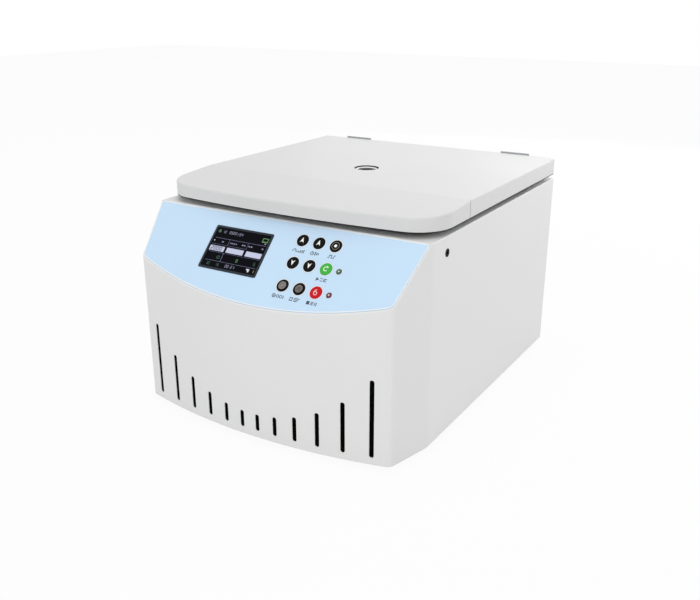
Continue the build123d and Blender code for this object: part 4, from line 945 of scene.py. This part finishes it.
    def pictograms(self) -> dict[Key, list[Outline]]:
        """Gives the outlines of the small pictograms below the keys.

        Returns:
            Outlines for each key that has one below it.
        """
        gauge = [band(2.4, 0.8, -30, 210, 20, (-5.4, -0.8)), [(-5.8, -1.2), (-5.0, -1.2), (-4.0, 0.9)]]
        gauge += [bar(-1.2 + 2.2 * i, -2.3 + (1.8 + 0.7 * i) / 2, 1.2, 1.8 + 0.7 * i) for i in range(5)]
        clock = [band(2.1, 0.8, 0, 360, 28, (-3.6, 0)), bar(-3.6, 0.7, 0.6, 1.5), bar(-3.1, 0, 1.1, 0.6)]
        clock += [bar(0.6 + 2.2 * i, 0, 1.2, 4.6 - 1.2 * i) for i in range(3)]
        pulse = [bar(x, 0, 0.8, 4.2) for x in (-3.1, 0.0, 3.1)]
        runs = ((-4.0, -1.7, 1.8), (-1.6, 1.7, 3.0), (1.5, -1.7, 3.0), (4.0, 1.7, 1.8))
        pulse += [bar(*run, 0.8) for run in runs]
        play = [[(-7.4, -2.3), (-3.2, 0), (-7.4, 2.3)], bar(-0.4, 1.5, 3.2, 0.9), bar(-0.4, -1.5, 3.2, 0.9)]
        play += [bar(4.6, 1.5, 4.6, 0.9), bar(3.6, 0, 2.6, 0.9), bar(4.6, -1.5, 4.6, 0.9)]
        wheel = [band(2.2, 0.8, 0, 360, 28, (-6.0, 0)), bar(-6.0, 0, 0.6, 4.2), bar(-6.0, 0, 4.2, 0.6)]
        wheel += [band(1.7, 0.8, 0, 360, 24, (x, 0)) for x in (-0.6, 3.8)] + [bar(7.2, 0, 0.9, 4.2)]
        page = [bar(x, 0, 0.9, 4.6) for x in (-6.4, -3.2)] + [bar(-4.8, y, 3.6, 0.8) for y in (1.9, -1.9)]
        page += [bar(2.6 - 0.6 * i, 1.8 - 1.8 * i, 7.4 - 1.2 * i, 0.9) for i in range(3)]
        halt = [bar(-4.8, 0, 4.2, 4.2)] + [bar(0.6, y, 3.4, 0.9) for y in (1.6, -1.6, 0)]
        halt += [bar(x, 0, 0.9, 4.2) for x in (4.4, 6.4)]
        return {
            Key.SPEED_UP: gauge, Key.TIME_UP: clock, Key.JOG: pulse, Key.START: play,
            Key.ROTOR: wheel, Key.PROGRAM: page, Key.STOP: halt,
        }


@dataclass
class Readout:
    """What the display shows: a grid of fields with plain numbers and marks."""

    face: ControlFace
    layer: float = 0.03
    digit_width: float = 0.55
    digit_stroke: float = 0.16
    digit_pitch: float = 0.95
    piece: Piece = field(init=False)

    SEGMENTS = {
        "0": "abcdef", "1": "bc", "2": "abged", "3": "abgcd", "4": "fgbc",
        "5": "afgcd", "6": "afgedc", "7": "abc", "8": "abcdefg", "9": "abcdfg",
    }

    def build(self) -> int:
        """Makes the lit marks on the display.

        Returns:
            The number of pieces, which is one.
        """
        self.piece = Piece("display_readout", "base", "screen_glass", self.face.seat("display_glass"))
        self.heading()
        self.fields()
        self.numbers()
        self.piece.make()
        return 1

    def ink(self, outline: Outline, finish: Finish, layer: int = 1) -> None:
        """Adds one lit shape on a layer of ink."""
        self.piece.add(plate(outline, -self.layer, self.layer * layer), finish)

    def bars(self, finish: Finish, *rows: tuple[float, float, float, float]) -> None:
        """Adds upright rectangles of one colour, each by its middle, width and height."""
        for row in rows:
            self.ink(bar(*row), finish)

    def number(self, text: str, x: float, y: float, tall: float, finish: Finish, layer: int = 1) -> None:
        """Writes a plain number in bars.

        Args:
            text: the digits.
            x: the left end of the number.
            y: the middle of its height.
            tall: the height of a digit.
            finish: the colour.
            layer: the layer of ink.
        """
        wide, stroke, half = tall * self.digit_width, tall * self.digit_stroke, tall / 2
        spots = {name: (wide / 2, up, wide, stroke) for name, up in zip("agd", (half, 0, -half))}
        spots |= {name: (right, half / 2, stroke, half) for name, right in zip("fb", (0, wide))}
        spots |= {name: (right, -half / 2, stroke, half) for name, right in zip("ec", (0, wide))}
        for index, digit in enumerate(text):
            for segment in self.SEGMENTS[digit]:
                across, up, w, h = spots[segment]
                self.ink(bar(x + index * tall * self.digit_pitch + across, y + up, w, h), finish, layer)

    def heading(self) -> None:
        """Makes the marks of the top row: a status dot, a slash and a link symbol."""
        self.ink(band(1.0, 2.6, 0, 360, 24, (-36.2, 22.4)), INK_DIM)
        self.ink([(-8.2, 19.8), (-7.7, 19.8), (-6.0, 23.6), (-6.5, 23.6)], INK_GREY)
        self.bars(INK_GREEN, (35.4, 20.0, 8.6, 6.2))
        self.ink(bar(35.4, 20.3, 6.2, 3.4), SCREEN, 2)
        self.bars(INK_GREY, (37.4, 15.4, 2.6, 1.2))

    def fields(self) -> None:
        """Makes the lines between the fields, their headings, the three boxes and the marks at the foot."""
        self.bars(
            INK_LINE,
            (0.8, 12.8, 78.0, 0.4), (-12.0, 4.1, 54.0, 0.3), (0.8, -6.8, 78.0, 0.3), (0.8, -18.6, 78.0, 0.4),
            (-15.3, 8.4, 0.3, 8.6), (-15.3, -12.6, 0.6, 11.8), (13.8, 8.2, 0.4, 8.8),
            (-24.5, 8.2, 3.2, 1.8), (-12.4, 8.2, 1.4, 1.8), (-9.8, 8.2, 2.4, 1.8), (-6.4, 8.2, 2.6, 1.8),
            (-3.0, 8.2, 1.4, 1.8), (36.8, 8.2, 2.8, 1.8),
        )
        self.ink(band(0.4, 0.9, 0, 360, 12, (-37.9, 8.8)), INK_WHITE)
        self.bars(
            INK_GREY, (6.6, 8.4, 2.2, 1.6), (9.8, 8.4, 1.6, 1.6), (16.6, 8.4, 2.0, 1.6), (20.0, 8.4, 2.4, 1.6)
        )
        self.bars(INK_LILAC, (-28.6, -1.7, 22.6, 7.0), (-0.8, -1.7, 26.0, 7.0), (27.7, -1.7, 23.6, 7.0))
        self.bars(INK_WHITE, (29.3, -21.6, 4.6, 1.8), (30.5, -23.6, 2.2, 2.4))
        self.bars(INK_YELLOW, (38.2, -22.8, 1.0, 3.8))

    def numbers(self) -> None:
        """Writes the numbers, from the top row to the bottom one."""
        for text, x, y, tall, finish, layer in (
            ("12", -30.6, 22.2, 3.0, INK_GREY, 1), ("0502", -20.6, 22.3, 3.2, INK_GREY, 1),
            ("94", -4.8, 21.8, 3.2, INK_GREY, 1), ("2000", -37.4, -1.7, 4.6, INK_DARK, 2),
            ("10", -24.8, -13.2, 4.0, INK_DIM, 1), ("8", 7.1, -13.2, 4.0, INK_GREEN, 1),
            ("5", 33.8, -13.2, 4.0, INK_DIM, 1), ("10", -34.8, -23.0, 3.6, INK_DIM, 1),
            ("15", -20.0, -23.0, 3.6, INK_DIM, 1), ("20", -5.0, -22.8, 3.4, INK_GREY, 1),
            ("21", 3.6, -22.8, 3.4, INK_GREY, 1),
        ):
            self.number(text, x, y, tall, finish, layer)


# --- The rotor and its slide carriers ---
@dataclass
class Rotor:
    """The covered dish and its windowed plate, on the motor's shaft."""

    carriers: int = 8

    def build(self) -> int:
        """Dresses the rotor and hangs its carriers.

        Returns:
            How many pieces it has.
        """
        count = dress({"rotor_dish": MACHINED, "carrier_plate": MACHINED, "rotor_nut": PLASTIC})
        for number in range(1, self.carriers + 1):
            Carrier(number).build()
        return count + self.carriers


@dataclass
class Carrier:
    """One clip with its glass slide, filter card, cup and cap, hung on two pins.

    Sizes stand in the frame of the pins: X outwards, Y along the pins and Z up.
    """

    number: int
    slide_half: float = 13.0
    slide_faces: tuple[float, float] = (12.02, 12.98)
    slide_ends: tuple[float, float] = (-66.0, 10.0)
    slide_round: float = 0.1
    frost_foot: float = -9.9
    card_faces: tuple[float, float] = (11.42, 0.56)
    card_ends: tuple[float, float] = (-46.5, 3.5)
    card_margin: float = 0.3
    hole_radius: float = 3.0
    hole_steps: int = 24
    outlet_z: float = -34.0
    cup_x: float = -2.0
    cap_ribs: int = 20
    clip_half: float = 14.5
    clip_sheet: float = 1.2
    clip_round: float = 0.3
    pin_radius: float = 1.5
    pin_end: float = 20.5
    piece: Piece = field(init=False)

    def seat(self) -> Matrix:
        """Gives the frame of the pins at rest.

        Returns:
            The frame, in millimetres.
        """
        swing = joint(f"carrier_{self.number}_swing")
        along = -Vector(swing["axis"]).normalized()
        up = Vector((0, 0, 1))
        outwards = along.cross(up).normalized()
        place = moved(*(Vector(swing["pos_m"]) / MM))
        return place @ facing(outwards, along, up) @ turned(swing["range_deg"][1], "Y")

    def build(self) -> None:
        """Makes the carrier in place of its CAD node."""
        name = f"carrier_{self.number}"
        self.piece = Piece(f"{name}_assembly", name, "carrier_mix", self.seat())
        self.slide()
        self.card()
        self.cup()
        self.clip()
        self.piece.make(name)

    def slide(self) -> None:
        """Makes the glass slide, with its frosted end at the top."""
        (near, far), (foot, top), half = self.slide_faces, self.slide_ends, self.slide_half
        edge = self.slide_round
        self.piece.add(block((near, -half, foot), (far, half, self.frost_foot), edge), SLIDE_GLASS)
        self.piece.add(block((near, -half, self.frost_foot), (far, half, top), edge), FROST)

    def card(self) -> None:
        """Makes the filter card, with its hole before the cup's outlet."""
        face, thickness = self.card_faces
        half, (low, high) = self.slide_half - self.card_margin, self.card_ends
        angles = [math.tau * i / self.hole_steps for i in range(self.hole_steps)]
        hole, middle = self.hole_radius, self.outlet_z
        ring = [(hole * math.cos(a), middle + hole * math.sin(a)) for a in angles]
        part = bmesh.new()
        loops = []
        for outline in ([(-half, low), (half, low), (half, high), (-half, high)], ring):
            corners = [part.verts.new((face, y, z)) for y, z in outline]
            loops += [part.edges.new((corners[i - 1], corners[i])) for i in range(len(corners))]
        bmesh.ops.triangle_fill(part, use_beauty=True, use_dissolve=False, edges=loops)
        thicken(part, part.faces[:], (thickness, 0, 0))
        self.piece.add(part, CARD)

    def cup(self) -> None:
        """Makes the sample cup with its flange and outlet, and the cap on its mouth."""
        axis = moved(self.cup_x, 0, 0)
        wall = [(0, -42), (7.2, -42), (8, -41.2), (8, 6), (6.8, 6), (6.8, -40.0), (6.0, -40.8), (0, -40.8)]
        self.piece.add(lathe(wall, 40), CUP, axis)
        self.piece.add(block((8.4, -11, -45), (11.38, 11, -1), 0.8), CUP)
        outlet = hoop(self.hole_radius, 4.2, 4.6, 11.3, 28)
        self.piece.add(outlet, CUP, moved(0, 0, self.outlet_z) @ turned(90, "Y"))
        cap = [(0, 6.02), (9.0, 6.02), (9.2, 6.3), (9.2, 10.8), (8.0, 12), (6.4, 12), (6.0, 11.5), (0, 11.5)]
        self.piece.add(lathe(cap, 40), CAP, axis)
        for rib in range(self.cap_ribs):
            spin = axis @ turned(360 * rib / self.cap_ribs, "Z")
            self.piece.add(block((9.0, -0.35, 6.6), (9.45, 0.35, 10.4), 0.1), CAP, spin)

    def clip(self) -> None:
        """Makes the bent clip: back, foot, ears with their pins, and the bar that presses the cup."""
        half, across = self.clip_half, turned(90, "X")
        self.piece.add(block((13.02, -half, -67.5), (14.2, half, 11.5), self.clip_round), CLIP_STEEL)
        self.piece.add(block((8, -half, -67.5), (13.4, half, -66.32), self.clip_round), CLIP_STEEL)
        ear = [(13.5, -17.5), (13.5, 7.5), (-1.5, 7.5), (-4, 5.0), (-4, -4.0), (1.5, -12.0), (6.5, -17.5)]
        for side in (-1, 1):
            near, far = sorted((side * (half - self.clip_sheet), side * half))
            self.piece.add(plate(ear, -far, -near, 0.25), CLIP_STEEL, across)
            pin = disc(self.pin_radius, -side * half, -side * self.pin_end, 0, 24)
            self.piece.add(pin, CLIP_STEEL, across)
        self.piece.add(disc(2.2, -half, half, 0, 20), CLIP_STEEL, moved(7.0, 0, -10) @ across)


# --- Casing, lid, chamber, rear and drive ---
@dataclass
class Casing:
    """The white casing on its base plate and feet, with dark strips in its front vents as painted shade."""

    vent_pairs: int = 6
    vent_pitch: float = 23.2
    vent_growth: float = 2.32
    vent_least: float = 22.2
    vent_arc: float = 210.0
    vent_foot: float = 9.0
    vent_width: float = 5.7
    shade_lap: float = 0.2
    shade_front: float = 0.8
    shade_back: float = 2.3
    edge_near: float = 0.1

    def build(self) -> int:
        """Dresses the casing's pieces.

        Returns:
            How many there are.
        """
        self.vent_shade_strips()
        return 1 + dress({
            "casing": SHELL, "top_deck": SHELL, "base_plate": SHEET_STEEL, "feet": RUBBER,
            "case_screws": BRIGHT_STEEL, "drive_board": BOARD,
        })

    def vent_shade_strips(self) -> None:
        """Sets a dark strip into each front vent, just below the sheet's outer face: painted shade inside the
        vent.
        """
        sheet, up = node_points("casing"), Vector((0, 0, 1))
        foot = min(v.z for v in sheet) + self.vent_foot
        shade_strips = Piece("vent_shade_strips", "base", "gasket_rubber")
        for pair in range(self.vent_pairs):
            reach = self.vent_pitch * (pair + 0.5) + self.vent_growth * pair * (pair + 1) / 2
            height = self.vent_least + self.vent_arc - math.sqrt(self.vent_arc**2 - reach**2)
            for x in (-reach, reach):
                rims = []
                for rim in (x - self.vent_width / 2, x + self.vent_width / 2):
                    column = [v for v in sheet if abs(v.x - rim) < self.edge_near]
                    front = min(v.y for v in column if foot < v.z < foot + height)
                    rims.append(Vector((rim, front, 0)))
                across = (rims[1] - rims[0]).normalized()
                middle = (rims[0] + rims[1]) / 2 + up * (foot + height / 2)
                outline = bar(0, 0, self.vent_width + self.shade_lap, height)
                shade_plate = plate(outline, -self.shade_back, -self.shade_front)
                shade_strips.add(shade_plate, VENT_SHADE, moved(*middle) @ facing(across, up, across.cross(up)))
        shade_strips.make()


@dataclass
class Lid:
    """The flat lid with its port, its hinges, its liner and its lock."""

    seal_width: float = 1.9
    window_edge: float = 12.0
    window_seal: float = 0.8
    seal_sunk: float = 0.4
    seal_proud: float = 0.12
    cone_slope: float = 3.2 / 4.8
    hinge_pitch: float = 274.0
    hinge_screw_pitch: float = 30.0
    leaf_thickness: float = 2.0
    leaf_edge: float = 8.0
    socket_radius: float = 1.5
    # Sizes of the black strip under the lid's edge, which is painted shadow.
    edge_shadow_strip_width: float = 1.2
    edge_shadow_strip_drop: float = 1.1
    edge_shadow_strip_lap: float = 0.1
    edge_shadow_strip_round: float = 0.2
    seam_depth: float = 0.4
    seam_sunk: float = 0.05
    seam_near: float = 0.004

    def build(self) -> int:
        """Dresses the lid's pieces.

        Returns:
            How many there are.
        """
        self.port_dark_rings()
        self.hinge_screws()
        self.edge_shadow_strip()
        self.side_seam_shade()
        return 5 + dress({
            "lid_shell": LID, "lid_liner": LINER, "port_ring": PORT, "port_window": PORT_SMOKED,
            "lid_striker": BRIGHT_STEEL, "hinge_lid_leaves": HINGE, "hinge_base_leaves": HINGE,
            "hinge_pins": BRIGHT_STEEL, "lock_housing": SHEET_STEEL, "lock_bolt": BRIGHT_STEEL,
            "release_plug": PLUG,
        })

    def port_dark_rings(self) -> None:
        """Lays the port's two thin dark rings: one on the upper edge of its cone, one round the window."""
        low, high = node_box("port_ring")
        middle = (low + high) / 2
        dark_rings = Piece("port_dark_rings", "lid", "gasket_rubber", moved(middle.x, middle.y, 0))
        mouth = (high.x - low.x) / 2
        rings = ((mouth, self.seal_width), (self.window_edge + self.window_seal, self.window_seal))
        for outer, width in rings:
            top = high.z - (mouth - outer) * self.cone_slope
            inner, drop = outer - width, width * self.cone_slope
            profile = [
                (inner, top - drop - self.seal_sunk), (outer, top - self.seal_sunk),
                (outer, top), (inner, top - drop + self.seal_proud),
            ]
            dark_rings.add(lathe(profile, 64, ring=True), SEAL_AND_SHADE)
        dark_rings.make()

    def edge_shadow_strip(self) -> None:
        """Hangs a thin black strip from the lid's lower edge, along its outline: painted shadow in the gap
        under the lid.
        """
        low, _ = node_box("lid_shell")
        seat = moved(0, 0, low.z) @ turned(180, "X")
        seal = Piece("lid_edge_shadow_strip", "lid", "gasket_rubber", seat)
        outline = face_outline("lid_shell", seat)
        sizes = (self.edge_shadow_strip_width, -self.edge_shadow_strip_lap, self.edge_shadow_strip_drop, self.edge_shadow_strip_round)
        seal.add(strip(outline, *sizes), SEAL_AND_SHADE)
        seal.make()

    def side_seam_shade(self) -> None:
        """Lays a dark strip in the fine groove down each side of the lid: painted shade in the seam."""
        low, high = node_box("lid_shell")
        floor = [v for v in node_points("lid_shell") if abs(high.x - v.x - self.seam_depth) < self.seam_near]
        near, far = min(v.y for v in floor), max(v.y for v in floor)
        foot, top = min(v.z for v in floor), max(v.z for v in floor) - self.seam_depth / 2
        seam_shade = Piece("lid_seam_shade", "lid", "gasket_rubber")
        for edge, inwards in ((low.x, 1), (high.x, -1)):
            sides = sorted((edge + inwards * self.seam_depth, edge + inwards * self.seam_sunk))
            seam_shade.add(block((sides[0], near, foot), (sides[1], far, top)), SEAL_AND_SHADE)
        seam_shade.make()

    def hinge_screws(self) -> None:
        """Sets two round-headed screws with sockets on each leaf of both hinges."""
        head = [(0, -0.5), (3.2, -0.5), (3.2, 0.6), (2.6, 1.3), (1.5, 1.5), (1.5, 0.7), (0, 0.7)]
        half = self.hinge_screw_pitch / 2
        for node, body, upper in (("hinge_lid_leaves", "lid", True), ("hinge_base_leaves", "base", False)):
            low, high = node_box(node)
            height = high.z - self.leaf_edge if upper else low.z + self.leaf_edge
            screws = Piece(f"{node}_screws", body, "bright_steel")
            for hinge in (-self.hinge_pitch / 2, self.hinge_pitch / 2):
                for x in (hinge - half, hinge + half):
                    place = moved(x, low.y + self.leaf_thickness, height) @ turned(-90, "X")
                    screws.add(lathe(head, 32), BRIGHT_STEEL, place)
                    # A black hexagon at the foot of each socket's hollow: painted shade in the socket.
                    screws.add(disc(self.socket_radius, 0.5, 0.8, steps=6), SEAL_AND_SHADE, place)
            screws.make()


@dataclass
class Chamber:
    """The stainless bowl with its gasket and guard ring, and the motor below it."""

    def build(self) -> int:
        """Dresses the chamber's pieces.

        Returns:
            How many there are.
        """
        return dress({
            "chamber_bowl": STAINLESS, "chamber_gasket": RUBBER, "guard_ring": SHEET_STEEL,
            "damper_mounts": RUBBER, "motor_plate": SHEET_STEEL, "motor_housing": MOTOR,
            "motor_bearings": BRIGHT_STEEL, "shaft_boot": RUBBER, "motor_shaft": BRIGHT_STEEL,
        })


@dataclass
class RearPanel:
    """The rear panel with its fan, its inlet and its switch."""

    socket_rise: float = 19.0
    socket_floor: float = 17.0
    blade_reach: float = 11.6
    blade_spots: Outline = field(default_factory=lambda: [(-7, -2), (0, 2), (7, -2)])
    drawer_rise: float = 35.0
    drawer_size: tuple[float, float] = (27.0, 10.5)
    rocker_lean: float = 0.8
    mark_sunk: float = 0.15
    mark_height: float = 0.06

    def build(self) -> int:
        """Dresses the rear panel's pieces.

        Returns:
            How many there are.
        """
        self.inlet_details()
        self.rocker_marks()
        return 2 + dress({
            "rear_panel": SHELL, "fan_frame": PLASTIC, "fan_impeller": PLASTIC,
            "power_inlet": PLASTIC, "rocker_switch": PLASTIC,
        })

    def inlet_details(self) -> None:
        """Gives the inlet its bright blades and the front of its fuse drawer."""
        low, high = node_box("power_inlet")
        middle = (low.x + high.x) / 2
        details = Piece("inlet_details", "base", "bright_steel")
        for x, z in self.blade_spots:
            spot = moved(middle + x, high.y - self.socket_floor, low.z + self.socket_rise + z)
            details.add(block((-1.1, 0.1, -2.1), (1.1, self.blade_reach, 2.1), 0.2), BRIGHT_STEEL, spot)
        wide, tall = (size / 2 for size in self.drawer_size)
        spot = moved(middle, high.y, low.z + self.drawer_rise)
        details.add(block((-wide, -0.4, -tall), (wide, 0.8, tall), 0.5), DRAWER, spot)
        details.add(block((-4.0, -0.4, -tall - 0.6), (4.0, 1.3, -tall + 2.2), 0.4), DRAWER, spot)
        details.make()

    def rocker_marks(self) -> None:
        """Puts the plain on and off marks on the two halves of the rocker's face."""
        faces = [f for f in frame["nodes"]["rocker_switch"].data.polygons if f.normal.y > self.rocker_lean]
        rises = [f.normal.z for f in faces]
        split = (min(rises) + max(rises)) / 2
        marks = Piece("rocker_marks", "rocker", "black_plastic")
        off = hoop(1.2, 1.8, -self.mark_sunk, self.mark_height, 32)
        on = plate(bar(0, 0, 0.7, 3.4), -self.mark_sunk, self.mark_height)
        for mark, upper in ((off, False), (on, True)):
            half = [f for f in faces if (f.normal.z < split) == upper]
            normal = sum((f.normal * f.area for f in half), Vector()).normalized()
            middle = sum((f.center * f.area for f in half), Vector()) / sum(f.area for f in half) / MM
            across = Vector((-1, 0, 0))
            marks.add(mark, ICON_WHITE, moved(*middle) @ facing(across, normal.cross(across), normal))
        marks.make()


# --- The studio ---
def aimed(made: bpy.types.Object, spot: Spot, aim: Spot) -> bpy.types.Object:
    """Stands a light or a camera at a spot and turns it to a point.

    Args:
        made: the light or the camera.
        spot: where it stands.
        aim: the point that it looks at.

    Returns:
        The same object.
    """
    made.location = spot
    made.rotation_euler = (Vector(aim) - Vector(spot)).to_track_quat("-Z", "Y").to_euler()
    return made


@dataclass(frozen=True)
class Softbox:
    """A square area light aimed at a point."""

    name: str
    spot: Spot
    power: float
    aim: Spot = (0, 0, 0.15)
    size: float = 1.2

    def build(self) -> bpy.types.Object:
        """Makes the light.

        Returns:
            The light, in the scene.
        """
        lamp = bpy.data.lights.new(self.name, "AREA")
        lamp.size = self.size
        lamp.energy = self.power
        return aimed(linked(self.name, lamp), self.spot, self.aim)


@dataclass
class Studio:
    """The camera, the pale floor, the plain white surroundings and the soft lights."""

    eye: Spot = (0.5787, -0.9601, 0.5223)
    target: Spot = (0.0552, -0.105, 0.1509)
    lens: float = 42.65
    sensor: float = 36.0
    white: Colour = (1, 1, 1, 1)
    sky: Colour = (0.97, 0.985, 1, 1)
    sky_strength: float = 0.69
    floor_half: float = 6.0
    floor_colour: Colour = (0.82, 0.82, 0.82, 1)
    floor_plain: float = 0.93
    lights: tuple[Softbox, ...] = (
        Softbox("front_light", (-0.15, -2.05, 0.62), 7.5),
        Softbox("right_light", (1.71, -0.62, 1.2), 5.0),
        Softbox("top_light", (0.0, 0.0, 2.2), 7.0),
        Softbox("rear_right_light", (0.7, 1.93, 0.59), 9.5),
        Softbox("rear_light", (0.0, 1.9, 1.04), 4.0),
        Softbox("rear_left_light", (-0.7, 1.93, 0.59), 2.0),
    )

    def camera(self) -> None:
        """Makes the camera."""
        data = bpy.data.cameras.new("camera")
        data.lens = self.lens
        data.sensor_width = self.sensor
        made = aimed(linked("camera", data), self.eye, self.target)
        bpy.context.scene.camera = made

    def world(self) -> None:
        """Makes white surroundings: plain to the camera and in reflections, softer as a light."""
        world = bpy.data.worlds.new("surroundings")
        bpy.context.scene.world = world
        world.use_nodes = True
        tree = world.node_tree
        tree.nodes.clear()
        plain = add_node(tree, "Background", {"Color": self.white, "Strength": 1.0})
        soft = add_node(tree, "Background", {"Color": self.sky, "Strength": self.sky_strength})
        mix, result = add_node(tree, "MixShader"), add_node(tree, "OutputWorld")
        wire(
            tree,
            (plain_rays(tree), 0, mix, "Fac"), (soft, 0, mix, 1), (plain, 0, mix, 2),
            (mix, 0, result, "Surface"),
        )

    def floor(self) -> None:
        """Makes the floor, which shows the camera hardly more than a soft contact shadow."""
        part = bmesh.new()
        bmesh.ops.create_grid(part, x_segments=1, y_segments=1, size=self.floor_half)
        mesh = bpy.data.meshes.new("floor")
        part.to_mesh(mesh)
        part.free()
        material = bpy.data.materials.new("floor")
        material.use_nodes = True
        tree = material.node_tree
        shader, result = (tree.nodes[name] for name in ("Principled BSDF", "Material Output"))
        filled(shader, {"Base Color": self.floor_colour, "Roughness": 1.0, "Specular IOR Level": 0.0})
        plain = add_node(tree, "Emission", {"Color": self.white, "Strength": 1.0})
        share = add_node(tree, "Math", {1: self.floor_plain}, operation="MULTIPLY")
        mix = add_node(tree, "MixShader")
        wire(
            tree,
            (plain_rays(tree), 0, share, 0), (share, 0, mix, "Fac"), (shader, "BSDF", mix, 1),
            (plain, 0, mix, 2), (mix, 0, result, "Surface"),
        )
        mesh.materials.append(material)
        made = linked("floor", mesh)

    def build(self) -> None:
        """Sets up the camera, the surroundings, the lights and the floor."""
        bpy.context.scene.view_settings.view_transform = "Standard"
        self.camera()
        self.world()
        self.floor()
        for light in self.lights:
            light.build()


def main() -> None:
    """Builds the scene."""
    logging.basicConfig(level=logging.INFO, format="%(name)s: %(message)s")
    Studio().build()
    face = ControlFace()
    parts = {
        "control face": face.build(),
        "display": Readout(face).build(),
        "casing": Casing().build(),
        "lid": Lid().build(),
        "chamber": Chamber().build(),
        "rotor": Rotor().build(),
        "rear panel": RearPanel().build(),
    }
    for name, count in parts.items():
        LOG.info("%s: %d pieces", name, count)


if __name__ == "__main__":
    main()
